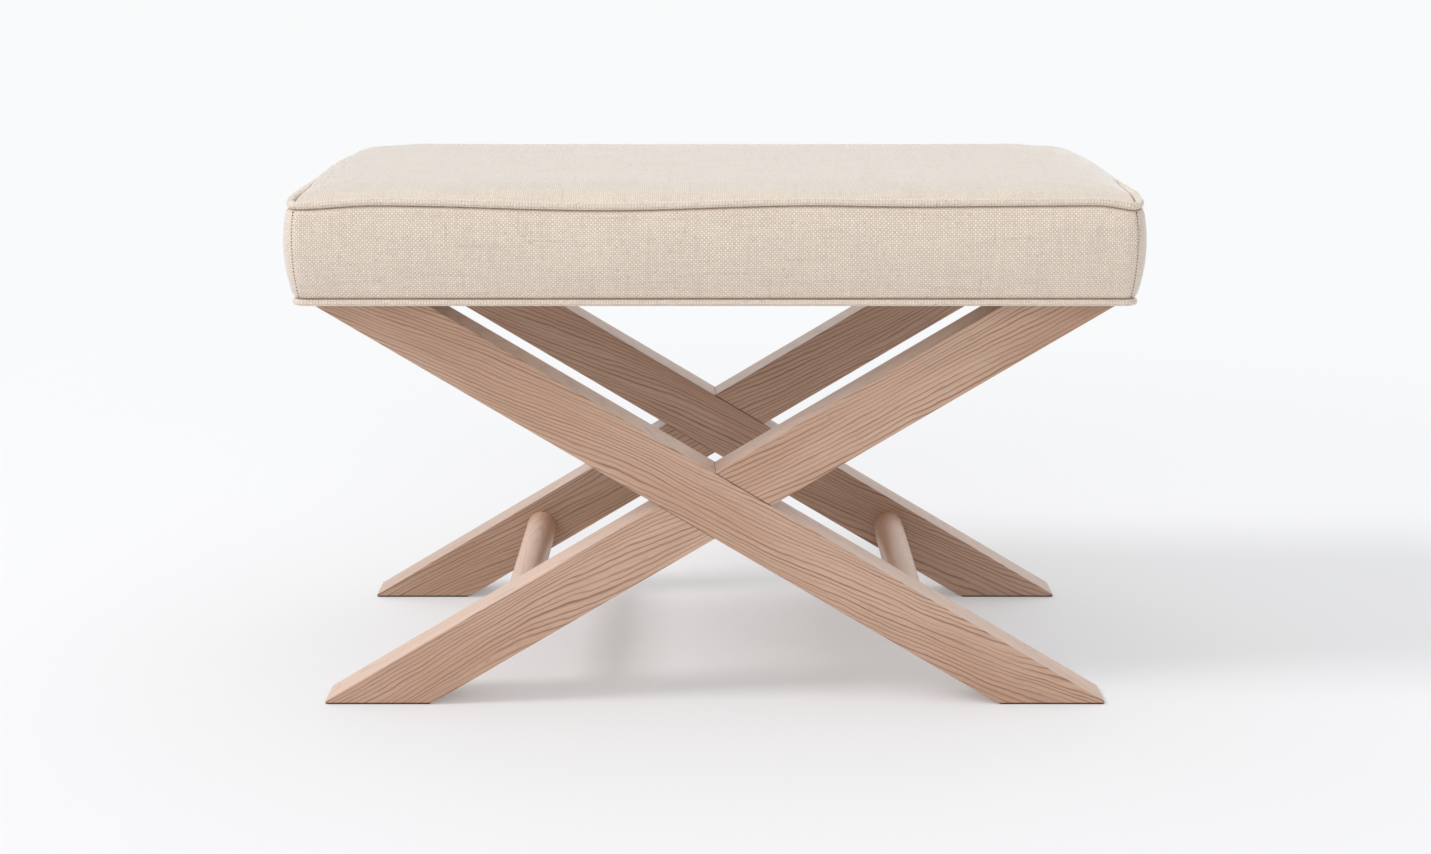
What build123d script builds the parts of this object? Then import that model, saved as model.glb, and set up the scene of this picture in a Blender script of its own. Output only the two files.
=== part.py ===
from build123d import *
from math import asin, atan2, hypot, sin, sqrt, tan
import os

# Footstool on two crossed frames, in millimetres.
# +X runs along the seat, +Y from the front frame to the rear one and +Z up from the floor.

# Seat: the outline is taken at the fullest part of the boxing
seat_width = 722.0
seat_depth = 448.0
seat_thickness = 98.8
seat_corner_radius = 19.0
seat_end_overhang = 16.0
seat_side_overhang = 34.0
deck_thickness = 15.0
deck_clearance = 0.1
dust_cover_thickness = 0.8
dust_cover_margin = 12.0

# Crossed frames
frame_height = 356.5
leg_face = 50.0
leg_thickness = 45.0
leg_easing = 1.0
lap_clearance = 0.15

# Pads under the feet
foot_pad_thickness = 1.5
foot_pad_margin = 2.0
foot_pad_corner = 3.0

# Round stretchers between the frames
stretcher_diameter = 29.0
stretcher_height = 75.0
tenon_diameter = 20.0
tenon_length = 24.0
tenon_easing = 1.0
tenon_clearance = 0.1
mortise_spare_depth = 1.0

# Bolts that hold the seat down on the legs
bolt_diameter = 8.0
bolt_inset = 62.0
bolt_head_diameter = 13.0
bolt_head_height = 8.0
bolt_socket_width = 6.0
bolt_socket_depth = 4.0
bolt_point_chamfer = 1.0
bolt_hole_clearance = 0.5
wood_under_washer = 18.0
washer_diameter = 17.0
washer_thickness = 1.6
counterbore_clearance = 1.5

# Tee nuts let into the top of the deck
tee_flange_diameter = 20.0
tee_flange_thickness = 1.5
tee_barrel_diameter = 10.0
tee_barrel_length = 12.0
tee_thread_clearance = 0.1
tee_prong_count = 4
tee_prong_width = 2.4
tee_prong_thickness = 1.2
tee_prong_length = 6.0
tee_prong_margin = 0.6
tee_fit_clearance = 0.1

# Fabric cover
fabric_thickness = 1.2
hem_width = 25.0
hem_mitre_gap = 0.2
boxing_top_set_back = 3.4
boxing_fullness_drop = 26.0
boxing_bottom_set_back = 7.0
boxing_seam_turn = 30.0
seam_clearance = 0.3
crown_rise = 13.3
crown_shoulder = 68.0
crown_edge_power = 4.0
crown_corner_radius = 25.0
crown_steps = 6
crown_step_growth = 1.6

# Piping sewn into the upper and lower seams
top_welt_diameter = 6.6
top_welt_set_back = 6.0
bottom_welt_diameter = 7.0
bottom_welt_set_back = 9.5
cord_clearance = 0.1

# Padding under the cover
batting_thickness = 8.0
padding_clearance = 0.5
padding_steps = 3
padding_crown_stride = 2

# Frame geometry that follows from the sizes above
foot_span = seat_width - 2 * seat_end_overhang
frame_pitch = seat_depth - 2 * seat_side_overhang - leg_thickness
half_span = foot_span / 2
leg_foot = foot_pad_thickness
leg_top = leg_foot + frame_height
leg_angle = atan2(frame_height, foot_span) + asin(leg_face / hypot(foot_span, frame_height))
leg_cut = leg_face / sin(leg_angle)
frame_y = frame_pitch / 2
stretcher_x = half_span - leg_cut / 2 - (stretcher_height - leg_foot) / tan(leg_angle)
bolt_x = half_span - bolt_inset
bolt_places = [Pos(x, y) for y in (-frame_y, frame_y) for x in (-bolt_x, bolt_x)]

# Heights through the seat
hem_bottom = leg_top + dust_cover_thickness
deck_bottom = hem_bottom + fabric_thickness
deck_top = deck_bottom + deck_thickness
welt_rest = deck_bottom + bottom_welt_diameter / 2 - fabric_thickness
tuck_bottom = welt_rest + bottom_welt_diameter / 2 + seam_clearance
tuck_top = tuck_bottom + fabric_thickness
crown_base = leg_top + seat_thickness - crown_rise
top_welt_height = crown_base - seam_clearance
boxing_top = top_welt_height - top_welt_diameter / 2 - seam_clearance
boxing_fullness_height = boxing_top - boxing_fullness_drop

# Set backs from the fullest outline
tuck_set_back = bottom_welt_set_back + bottom_welt_diameter / 2 + seam_clearance
deck_set_back = tuck_set_back + fabric_thickness
crown_set_back = top_welt_set_back + top_welt_diameter / 2 + seam_clearance


def save(node, shape):
    """Write one sub-part to its own STEP file."""
    export_step(shape, f"parts/{node}.step")


def leg_outline(direction, growth=0.0):
    """Face of a leg that runs from its foot on one side to the seat on the other.

    direction is +1 for a foot at +X and -1 for a foot at -X; growth widens the face for a lap.
    """
    wider = growth / sin(leg_angle)
    points = [
        (direction * (half_span + wider), leg_foot),
        (direction * (half_span - leg_cut - wider), leg_foot),
        (direction * (-half_span - wider), leg_top),
        (direction * (-half_span + leg_cut + wider), leg_top),
    ]
    return make_face(Plane.XZ * Polyline(*points, close=True))


def crossed_leg(direction, lap_side, inner_side):
    """One leg about its own frame's middle plane, lapped, mortised and bored.

    lap_side is the side of that plane on which its half is cut away at the crossing, and
    inner_side is the side that faces the other frame.
    """
    leg = extrude(leg_outline(direction), leg_thickness / 2, both=True)
    long_edges = [edge for edge in leg.edges() if edge.length > foot_span / 2]
    foot_edges = leg.faces().sort_by(Axis.Z)[0].edges()
    leg = fillet(long_edges + foot_edges, leg_easing)

    lap = extrude(leg_outline(-direction, lap_clearance), leg_thickness / 2, dir=(0, lap_side, 0))
    leg -= lap

    mortise_radius = tenon_diameter / 2 + tenon_clearance
    mortise_depth = tenon_length + mortise_spare_depth
    mortise_y = inner_side * (leg_thickness - mortise_depth) / 2
    mortise = Cylinder(mortise_radius, mortise_depth, rotation=(90, 0, 0))
    leg -= Pos(direction * stretcher_x, mortise_y, stretcher_height) * mortise

    bolt_hole = Cylinder(bolt_diameter / 2 + bolt_hole_clearance, 2 * wood_under_washer)
    counterbore = Cylinder(
        washer_diameter / 2 + counterbore_clearance,
        leg_face,
        align=(Align.CENTER, Align.CENTER, Align.MAX),
    )
    leg -= Pos(-direction * bolt_x, 0, leg_top) * bolt_hole
    leg -= Pos(-direction * bolt_x, 0, leg_top - wood_under_washer) * counterbore
    return leg


def stretcher():
    """Turned rail along Y with a shouldered round tenon at each end."""
    length = frame_pitch - leg_thickness
    rail = Cylinder(stretcher_diameter / 2, length)
    tenons = Cylinder(tenon_diameter / 2, length + 2 * tenon_length)
    end_edges = tenons.edges().filter_by(GeomType.CIRCLE)
    return Rot(90, 0, 0) * (rail + chamfer(end_edges, tenon_easing))


def foot_pad():
    """Thin pad centred under one foot, set in from the leg's edges."""
    outline = RectangleRounded(
        leg_cut - 2 * foot_pad_margin,
        leg_thickness - 2 * foot_pad_margin,
        foot_pad_corner,
    )
    return extrude(outline, foot_pad_thickness)


def corner_radius(set_back):
    """Radius of the seat's corners in plan, on an outline set back from the fullest one."""
    return max(seat_corner_radius - set_back, fabric_thickness)


def seat_outline(set_back):
    """Plan of the seat, set back from the fullest part of the boxing."""
    width = seat_width - 2 * set_back
    depth = seat_depth - 2 * set_back
    return RectangleRounded(width, depth, corner_radius(set_back))


def arc_through(first, middle, last):
    """Centre and radius of the circle through three points."""
    (ax, ay), (bx, by), (cx, cy) = first, middle, last
    turn = 2 * (ax * (by - cy) + bx * (cy - ay) + cx * (ay - by))
    a_square = ax * ax + ay * ay
    b_square = bx * bx + by * by
    c_square = cx * cx + cy * cy
    x = (a_square * (by - cy) + b_square * (cy - ay) + c_square * (ay - by)) / turn
    y = (a_square * (cx - bx) + b_square * (ax - cx) + c_square * (bx - ax)) / turn
    return x, y, hypot(ax - x, ay - y)


boxing_arc = (
    (-boxing_top_set_back, boxing_top),
    (0.0, boxing_fullness_height),
    (-boxing_bottom_set_back, tuck_bottom),
)


def boxing_set_back(height):
    """How far the boxing's outer face lies inside the fullest outline at a height."""
    x, z, radius = arc_through(*boxing_arc)
    return -(x + sqrt(radius**2 - (height - z) ** 2))


def boxing_section():
    """Section of a boxing panel: the bulged side, then the tuck in behind the piping.

    It is drawn outwards from the fullest outline, with height along its second axis.
    """
    x, z, radius = arc_through(*boxing_arc)
    inner = radius - fabric_thickness

    def on_inner(height):
        return (x + sqrt(inner**2 - (height - z) ** 2), height)

    outer_top, outer_middle, outer_bottom = boxing_arc
    outline = [
        ThreePointArc(outer_top, outer_middle, outer_bottom),
        Polyline(
            outer_bottom,
            (-tuck_set_back, tuck_bottom),
            (-tuck_set_back, hem_bottom),
            (-deck_set_back, hem_bottom),
            (-deck_set_back, tuck_top),
            on_inner(tuck_top),
        ),
        ThreePointArc(on_inner(tuck_top), on_inner(boxing_fullness_height), on_inner(boxing_top)),
        Line(on_inner(boxing_top), outer_top),
    ]
    return make_face(outline)


def boxing_panel(length, distance, turn):
    """Side panel along X at -Y, from the seam in one rounded corner to the seam in the next.

    length is the seat's size along the panel and distance its size across; turn is the angle
    by which the panel reaches round each corner.
    """
    reach = length / 2 - seat_corner_radius
    depth = distance / 2 - seat_corner_radius
    path = Wire(
        [
            CenterArc((-reach, -depth), seat_corner_radius, 270 - turn, turn),
            Line((-reach, -distance / 2), (reach, -distance / 2)),
            CenterArc((reach, -depth), seat_corner_radius, 270, turn),
        ]
    )
    outwards = path @ 0 - Vector(-reach, -depth)
    start = Plane(origin=path @ 0, x_dir=outwards, z_dir=-(path % 0))
    side = sweep(start * boxing_section(), path=path)

    hem_length = length / 2 - deck_set_back - hem_mitre_gap
    hem_depth = distance / 2 - deck_set_back
    hem_outline = Polyline(
        (-hem_length, -hem_depth),
        (hem_length, -hem_depth),
        (hem_length - hem_width, hem_width - hem_depth),
        (hem_width - hem_length, hem_width - hem_depth),
        close=True,
    )
    deck_outline = RectangleRounded(
        length - 2 * deck_set_back,
        distance - 2 * deck_set_back,
        corner_radius(deck_set_back),
    )
    hem_face = make_face(hem_outline) & deck_outline
    return side + extrude(Pos(0, 0, hem_bottom) * hem_face, fabric_thickness)


def crown_section(step, set_back, drop):
    """One level of the crowned top, which climbs steeply at its border and then flattens.

    The levels lie closer together near the border, and their corners grow rounder inwards.
    """
    progress = (step / crown_steps) ** crown_step_growth
    inset = set_back + crown_shoulder * progress
    rise = crown_rise * (1 - (1 - progress) ** crown_edge_power)
    border_radius = corner_radius(set_back)
    radius = border_radius + progress * (crown_corner_radius - border_radius)
    level = RectangleRounded(seat_width - 2 * inset, seat_depth - 2 * inset, radius)
    return Pos(0, 0, crown_base + rise - drop) * level


def crown(set_back, drop, base):
    """Solid under the crowned top, lowered by drop, down to the height base."""
    levels = [crown_section(step, set_back, drop) for step in range(crown_steps + 1)]
    block = extrude(Pos(0, 0, base) * seat_outline(set_back), crown_base - drop - base)
    return block + loft(levels)


def padding(inside, base):
    """Bulged and crowned block that lies a given distance inside the cover."""
    shoulder = crown_base - inside
    heights = [base + (shoulder - base) * step / padding_steps for step in range(padding_steps)]
    levels = [Pos(0, 0, z) * seat_outline(boxing_set_back(z) + inside) for z in heights]
    top_set_back = crown_set_back + inside
    steps = range(0, crown_steps + 1, padding_crown_stride)
    levels += [crown_section(step, top_set_back, inside) for step in steps]
    return loft(levels, ruled=True)


def welt(set_back, height, section):
    """Ring of piping round the seat with the given section: four runs and four bends."""
    bend = corner_radius(set_back)
    reach = seat_width / 2 - set_back - bend
    depth = seat_depth / 2 - set_back - bend
    ring = Part()
    for quarter in range(4):
        along, across = (depth, reach) if quarter % 2 else (reach, depth)
        start = Plane(origin=(-along, -across - bend, height), z_dir=(1, 0, 0))
        end = Plane(origin=(along, -across - bend, height), z_dir=(1, 0, 0))
        run = extrude(start * section, 2 * along)
        corner = revolve(end * section, Axis((along, -across, height), (0, 0, 1)), 90)
        ring += Rot(0, 0, 90 * quarter) * (run + corner)
    return ring


def leg_bolt():
    """Socket-head bolt that points up, with the underside of its head at the origin."""
    grip = washer_thickness + wood_under_washer + deck_top - leg_top
    shank = Cylinder(bolt_diameter / 2, grip, align=(Align.CENTER, Align.CENTER, Align.MIN))
    shank = chamfer(shank.edges().sort_by(Axis.Z)[-1], bolt_point_chamfer)
    head = Cylinder(
        bolt_head_diameter / 2,
        bolt_head_height,
        align=(Align.CENTER, Align.CENTER, Align.MAX),
    )
    socket = extrude(RegularPolygon(bolt_socket_width / 2, 6, major_radius=False), bolt_socket_depth)
    return shank + head - Pos(0, 0, -bolt_head_height) * socket


def bolt_washer():
    """Flat washer with its upper face at the origin."""
    ring = Circle(washer_diameter / 2) - Circle(bolt_diameter / 2 + bolt_hole_clearance)
    return extrude(ring, -washer_thickness)


def tee_nut(growth=0.0, bored=True):
    """Pronged tee nut with its flange's upper face at the origin; growth makes its recess."""
    flange = Circle(tee_flange_diameter / 2 + growth)
    barrel = Circle(tee_barrel_diameter / 2 + growth)
    nut = extrude(flange, -tee_flange_thickness) + extrude(barrel, -tee_barrel_length)
    prong_radius = tee_flange_diameter / 2 - tee_prong_margin - tee_prong_thickness / 2
    prong = Rectangle(tee_prong_thickness + 2 * growth, tee_prong_width + 2 * growth)
    depth = tee_flange_thickness + tee_prong_length + growth
    for place in PolarLocations(prong_radius, tee_prong_count):
        nut += extrude(place * prong, -depth)
    if bored:
        bore = Circle(bolt_diameter / 2 + tee_thread_clearance)
        nut -= extrude(bore, -tee_barrel_length)
    return nut


def seat_deck():
    """Plywood panel with a stepped recess for each tee nut and a hole for each bolt."""
    outline = seat_outline(deck_set_back + deck_clearance)
    deck = extrude(Pos(0, 0, deck_bottom) * outline, deck_thickness)
    recess = tee_nut(growth=tee_fit_clearance, bored=False)
    hole = extrude(Circle(bolt_diameter / 2 + bolt_hole_clearance), -deck_thickness)
    for place in bolt_places:
        deck -= Pos(0, 0, deck_top) * place * (recess + hole)
    return deck


def dust_cover():
    """Thin cloth under the deck, with a hole where each bolt passes."""
    sheet = seat_outline(deck_set_back + dust_cover_margin)
    for place in bolt_places:
        sheet -= place * Circle(bolt_diameter / 2 + bolt_hole_clearance)
    return extrude(Pos(0, 0, leg_top) * sheet, dust_cover_thickness)


def group(shape, height):
    """One copy of a fastener at each bolt, at a height."""
    return Compound(children=[Pos(0, 0, height) * place * shape for place in bolt_places])


os.makedirs("parts", exist_ok=True)

# Frames: the leg that runs down to the right stays whole at the front of the lap in both
for frame, y, inner_side in (("front", -frame_y, 1), ("rear", frame_y, -1)):
    save(f"{frame}_over_leg", Pos(0, y) * crossed_leg(1, 1, inner_side))
    save(f"{frame}_under_leg", Pos(0, y) * crossed_leg(-1, -1, inner_side))
    for side, direction in (("left", -1), ("right", 1)):
        pad_x = direction * (half_span - leg_cut / 2)
        save(f"{frame}_{side}_foot_pad", Pos(pad_x, y) * foot_pad())

for side, direction in (("left", -1), ("right", 1)):
    save(f"{side}_stretcher", Pos(direction * stretcher_x, 0, stretcher_height) * stretcher())

# Seat: deck and padding, then the cover and its piping
save("seat_deck", seat_deck())
save("dust_cover", dust_cover())
foam_inside = fabric_thickness + batting_thickness + 2 * padding_clearance
batting_inside = fabric_thickness + padding_clearance
save("foam_core", padding(foam_inside, deck_top))
hollow = padding(foam_inside - padding_clearance, deck_top)
save("batting_wrap", padding(batting_inside, deck_top) - hollow)

cover_top = crown(crown_set_back, 0.0, crown_base - fabric_thickness)
cover_inside = crown(crown_set_back, fabric_thickness, crown_base - 3 * fabric_thickness)
save("top_panel", cover_top - cover_inside)

long_panel = boxing_panel(seat_width, seat_depth, boxing_seam_turn)
short_panel = boxing_panel(seat_depth, seat_width, 90 - boxing_seam_turn)
save("front_boxing", long_panel)
save("right_boxing", Rot(0, 0, 90) * short_panel)
save("rear_boxing", Rot(0, 0, 180) * long_panel)
save("left_boxing", Rot(0, 0, 270) * short_panel)

for name, set_back, height, diameter in (
    ("top_welt", top_welt_set_back, top_welt_height, top_welt_diameter),
    ("bottom_welt", bottom_welt_set_back, welt_rest, bottom_welt_diameter),
):
    bore = diameter / 2 - fabric_thickness
    save(name, welt(set_back, height, Circle(diameter / 2) - Circle(bore)))
    save(f"{name}_cord", welt(set_back, height, Circle(bore - cord_clearance)))

# Fasteners: each kind is one group of four
head_height = leg_top - wood_under_washer - washer_thickness
save("leg_bolts", group(leg_bolt(), head_height))
save("bolt_washers", group(bolt_washer(), leg_top - wood_under_washer))
save("tee_nuts", group(tee_nut(), deck_top))
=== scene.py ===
from math import atan2, hypot, pi, radians, sin, sqrt
from types import SimpleNamespace

import bmesh
import bpy
import numpy as np
from bpy.props import FloatProperty, FloatVectorProperty, PointerProperty
from bpy.types import NodeSocket, Operator, Panel, PropertyGroup
from mathutils import Euler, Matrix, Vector


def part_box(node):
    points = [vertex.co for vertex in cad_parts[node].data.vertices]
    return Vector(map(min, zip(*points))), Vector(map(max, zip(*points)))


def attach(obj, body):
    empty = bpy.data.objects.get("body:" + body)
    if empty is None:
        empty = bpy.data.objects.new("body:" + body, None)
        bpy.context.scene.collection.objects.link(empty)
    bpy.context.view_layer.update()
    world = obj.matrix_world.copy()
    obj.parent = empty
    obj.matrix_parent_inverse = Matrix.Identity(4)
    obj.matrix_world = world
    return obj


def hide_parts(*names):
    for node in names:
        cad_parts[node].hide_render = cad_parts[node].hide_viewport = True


bl_info = {
    "name": "Linen footstool",
    "version": (1, 0, 0),
    "blender": (4, 5, 0),
    "location": "View3D > Sidebar > Footstool",
    "description": "Dresses a footstool's frame and seat in oak and linen, and stages it",
    "category": "Object",
}

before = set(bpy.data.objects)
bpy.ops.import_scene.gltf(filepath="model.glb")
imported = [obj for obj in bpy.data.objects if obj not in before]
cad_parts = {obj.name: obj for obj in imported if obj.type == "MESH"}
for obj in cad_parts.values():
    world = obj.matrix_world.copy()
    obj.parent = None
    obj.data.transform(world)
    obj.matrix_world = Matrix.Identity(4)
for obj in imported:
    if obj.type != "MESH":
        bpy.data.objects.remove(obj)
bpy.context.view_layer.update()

MM = 0.001
WHOLE_TURN = 2 * pi
QUARTER_TURN = pi / 2
BODY = "root"

# The cover's cloth simulation: spacing of its points, pressure, frames, how far a point may move, and
# how far inside their outline the panels start
CLOTH_SPACING = 7.0 * MM
CLOTH_PRESSURE = 4.0
CLOTH_FRAMES = 20
CLOTH_LIMIT = 0.8 * MM
CLOTH_SLACK = 0.4 * MM

# Sides of the seat in order, each a quarter turn on from the one before
SIDES = ("front", "right", "rear", "left")

# How far the upper seam is drawn up along each of these sides: share of the side, rise in millimetres
SEAM_RISES = (
    ((0.0, 0.0), (0.1, 3.5), (0.37, -0.5), (0.62, 3.5), (0.73, 2.5), (0.95, 3.5), (1.0, -0.5)),
    ((0.0, -0.5), (0.1, 4.5), (0.5, 2.0), (1.0, -1.0)),
    ((0.0, -1.0), (0.1, 3.0), (0.5, 2.5), (0.9, 3.0), (1.0, -1.0)),
    ((0.0, -1.0), (0.5, 2.0), (0.9, 3.0), (1.0, 0.0)),
)

# How far the padded crown swells out over the piping of the short sides, on the same terms
SWELLS = {
    "right": ((0.0, 0.0), (0.14, 0.5), (0.4, 8.5), (0.66, 9.0), (0.94, 6.5), (1.0, 0.0)),
    "left": ((0.0, 0.0), (0.06, 6.0), (0.36, 9.5), (0.6, 8.0), (0.86, 0.5), (1.0, 0.0)),
}


def shown(red, green, blue):
    """Linear colour for an 8-bit colour as a screen shows it."""

    def linear(level):
        share = level / 255
        return share / 12.92 if share <= 0.04045 else ((share + 0.055) / 1.055) ** 2.4

    return linear(red), linear(green), linear(blue)


def eased(table, share):
    """Values between the places of a table, each reached smoothly."""
    places, values = np.array(table).T
    index = np.clip(np.searchsorted(places, share, side="right") - 1, 0, len(places) - 2)
    step = (share - places[index]) / (places[index + 1] - places[index])
    return values[index] + (values[index + 1] - values[index]) * (1 - np.cos(pi * step)) / 2


def length_setting(name, description, millimetres):
    """Length property with its default given in millimetres."""
    return FloatProperty(
        name=name,
        description=description,
        default=millimetres * MM,
        unit="LENGTH",
        precision=5,
    )


def colour_setting(name, description, level):
    """Colour property with its default given as a screen shows it."""
    return FloatVectorProperty(
        name=name,
        description=description,
        default=shown(*level),
        subtype="COLOR",
        min=0.0,
        max=1.0,
    )


class FootstoolCover(PropertyGroup):
    """Sizes and colours of the linen cover."""

    fabric_thickness: length_setting("Fabric", "Thickness of the linen", 1.2)
    thread_pitch: length_setting("Thread pitch", "Distance from one thread to the next", 1.77)
    corner_radius: length_setting("Corner radius", "Corners in plan at the fullest outline", 19.0)
    seam_turn: FloatProperty(
        name="Seam turn",
        description="How far the long boxing panels reach round each corner",
        default=radians(30),
        subtype="ANGLE",
    )
    boxing_top_set_back: length_setting("Upper set back", "Boxing's set back at its top", 3.4)
    boxing_fullness_drop: length_setting("Fullness drop", "Fullest line below the boxing's top", 26.0)
    boxing_bottom_set_back: length_setting("Lower set back", "Boxing's set back at its foot", 7.0)
    hem_width: length_setting("Hem", "Fabric turned under the deck", 25.0)
    crown_shoulder: length_setting("Shoulder", "Width of the curve at the crown's long edges", 68.0)
    crown_edge_power: FloatProperty(
        name="Edge power",
        description="How steeply the crown climbs from its long seams",
        default=4.0,
    )
    end_shoulder: length_setting("End shoulder", "Width of the curve at the crown's short edges", 160.0)
    end_edge_power: FloatProperty(
        name="End power",
        description="How steeply the crown climbs from its short seams",
        default=6.1,
    )
    seam_roll: length_setting("Seam roll", "Radius of the fabric's turn into a seam", 1.5)
    upper_piping: length_setting("Upper piping", "Thickness of the piping round the top", 6.6)
    lower_piping: length_setting("Lower piping", "Thickness of the piping round the foot", 5.6)
    upper_inset: length_setting("Upper inset", "How much further in the upper piping stands", 0.9)
    warp_colour: colour_setting("Warp", "Colour of the upright threads", (245, 234, 221))
    weft_colour: colour_setting("Weft", "Colour of the cross threads", (229, 210, 188))
    # Painted shade between the threads and in the seams' turns takes this colour, which also darkens thin
    # threads and flecks
    dark_yarn_and_shade_colour: colour_setting("Gaps", "Colour between the threads", (160, 120, 90))


class FootstoolWood(PropertyGroup):
    """Colours and figure of the oak frame."""

    pale_colour: colour_setting("Pale wood", "Wood between the growth lines", (211, 176, 153))
    warm_colour: colour_setting("Warm wood", "Warmer streaks in the wood", (198, 160, 135))
    line_colour: colour_setting("Growth lines", "Dark wood of the growth lines", (141, 99, 75))
    joint_shade_colour: colour_setting("Joint", "Shade in the joint between two legs", (84, 60, 46))
    ring_spacing: length_setting("Ring spacing", "Distance between growth lines", 3.3)
    # Painted shade: this level darkens the whole rear frame, whose wood is the same as the front's, to
    # stand in for the seat's shadow
    rear_shade_tone: FloatProperty(
        name="Rear tone",
        description="How bright the rear frame's browner stock is beside the front frame's",
        default=0.84,
    )


class FootstoolStage(PropertyGroup):
    """Camera, floor and lights."""

    camera_place: FloatVectorProperty(
        name="Camera",
        description="Where the camera stands",
        default=(0.0005, -2.211, 0.690),
        subtype="TRANSLATION",
        unit="LENGTH",
    )
    camera_dip: FloatProperty(
        name="Camera dip",
        description="How far the camera looks down",
        default=radians(12.29),
        subtype="ANGLE",
    )
    camera_lens: FloatProperty(
        name="Lens",
        description="Focal length in millimetres on a 36 mm sensor",
        default=60.755,
        subtype="DISTANCE_CAMERA",
    )
    floor_colour: colour_setting("Floor", "Colour of the floor under the lights", (237, 237, 239))
    backdrop_colour: colour_setting("White", "Even white that the floor runs out to", (249, 250, 251))
    floor_glow: FloatProperty(
        name="Floor glow",
        description="Share of even white in the floor near the stool, which softens its shadow",
        default=0.24,
    )
    sky_level: FloatProperty(name="Sky", description="Level of the light from overhead", default=1.08)
    backdrop_level: FloatProperty(
        name="Backdrop",
        description="Level of the light from behind the stool",
        default=2.1,
    )
    key_power: FloatProperty(
        name="Key",
        description="Power of the light high on the left",
        default=1020.0,
        subtype="POWER",
    )
    fill_power: FloatProperty(
        name="Fill",
        description="Power of the large soft light high behind the camera",
        default=185.0,
        subtype="POWER",
    )


class NodeTree:
    """Node tree with short calls that add its nodes."""

    def __init__(self, tree):
        self.tree = tree

    def put(self, socket, value):
        """Link a socket to a node's output, or set it to a constant."""
        if isinstance(value, NodeSocket):
            self.tree.links.new(value, socket)
        elif socket.type == "RGBA":
            socket.default_value = (*value[:3], 1.0)
        else:
            socket.default_value = value

    def add(self, kind, sockets=None, **settings):
        """New node with its settings and its inputs by name or number."""
        node = self.tree.nodes.new(kind)
        for setting, value in settings.items():
            setattr(node, setting, value)
        for socket, value in (sockets or {}).items():
            self.put(node.inputs[socket], value)
        return node

    def math(self, operation, *values):
        """Result of one step of arithmetic."""
        node = self.add("ShaderNodeMath", dict(enumerate(values)), operation=operation)
        return node.outputs[0]

    def split(self, vector):
        """The three parts of a vector."""
        return self.add("ShaderNodeSeparateXYZ", {0: vector}).outputs

    def joined(self, x=0.0, y=0.0, z=0.0):
        """Vector made of three parts."""
        return self.add("ShaderNodeCombineXYZ", {0: x, 1: y, 2: z}).outputs[0]


class Surface(NodeTree):
    """One procedural material."""

    def __init__(self, name, **sockets):
        self.material = bpy.data.materials.new(name)
        self.material.use_nodes = True
        super().__init__(self.material.node_tree)
        self.shader = self.tree.nodes["Principled BSDF"]
        for socket, value in sockets.items():
            self.put(self.shader.inputs[socket.replace("_", " ")], value)

    def total(self, *values):
        """Sum of values."""
        result = values[0]
        for value in values[1:]:
            result = self.math("ADD", result, value)
        return result

    def times(self, *values):
        """Product of values."""
        result = values[0]
        for value in values[1:]:
            result = self.math("MULTIPLY", result, value)
        return result

    def place(self):
        """Coordinates of the piece's own frame, in metres."""
        return self.add("ShaderNodeTexCoord").outputs["Object"]

    def turned(self, middle, turn, shift=0.0):
        """Coordinates about a piece's middle, turned, then moved along X."""
        rotation = Euler(turn)
        start = Vector(middle)
        start.rotate(rotation)
        sockets = {
            "Vector": self.place(),
            "Location": Vector((shift, 0.0, 0.0)) - start,
            "Rotation": rotation,
        }
        return self.add("ShaderNodeMapping", sockets).outputs[0]

    def stretched(self, vector, factors):
        """Vector with each part multiplied by a factor."""
        return self.add("ShaderNodeVectorMath", {0: vector, 1: factors}, operation="MULTIPLY").outputs[0]

    def length(self, vector):
        """Length of a vector."""
        return self.add("ShaderNodeVectorMath", {0: vector}, operation="LENGTH").outputs["Value"]

    def noise(self, vector, scale=1.0, detail=2.0, roughness=0.5):
        """Noise from 0 to 1 with its middle at 0.5."""
        sockets = {"Vector": vector, "Scale": scale, "Detail": detail, "Roughness": roughness}
        return self.add("ShaderNodeTexNoise", sockets).outputs[0]

    def noise_along(self, place, scale):
        """Smooth noise along a line."""
        sockets = {"W": place, "Scale": scale, "Detail": 0.0}
        return self.add("ShaderNodeTexNoise", sockets, noise_dimensions="1D").outputs[0]

    def ramp(self, value, low, high, start=0.0, end=1.0):
        """Smooth step of a value from one level to another."""
        sockets = {0: value, 1: low, 2: high, 3: start, 4: end}
        return self.add("ShaderNodeMapRange", sockets, interpolation_type="SMOOTHSTEP").outputs[0]

    def mixed(self, share, first, second, blend="MIX"):
        """Blend of two colours."""
        sockets = {0: share, 6: first, 7: second}
        node = self.add("ShaderNodeMix", sockets, data_type="RGBA", blend_type=blend)
        return node.outputs[2]

    def toned(self, colour, level):
        """Colour multiplied by a level."""
        return self.mixed(1.0, colour, self.joined(level, level, level), blend="MULTIPLY")

    def finish(self, colour, height, relief, strength, roughness=None):
        """Connect the colour and the relief, and return the material."""
        self.put(self.shader.inputs["Base Color"], colour)
        if roughness is not None:
            self.put(self.shader.inputs["Roughness"], roughness)
        sockets = {"Height": height, "Distance": relief, "Strength": strength}
        bump = self.add("ShaderNodeBump", sockets)
        self.put(self.shader.inputs["Normal"], bump.outputs[0])
        return self.material


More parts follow.
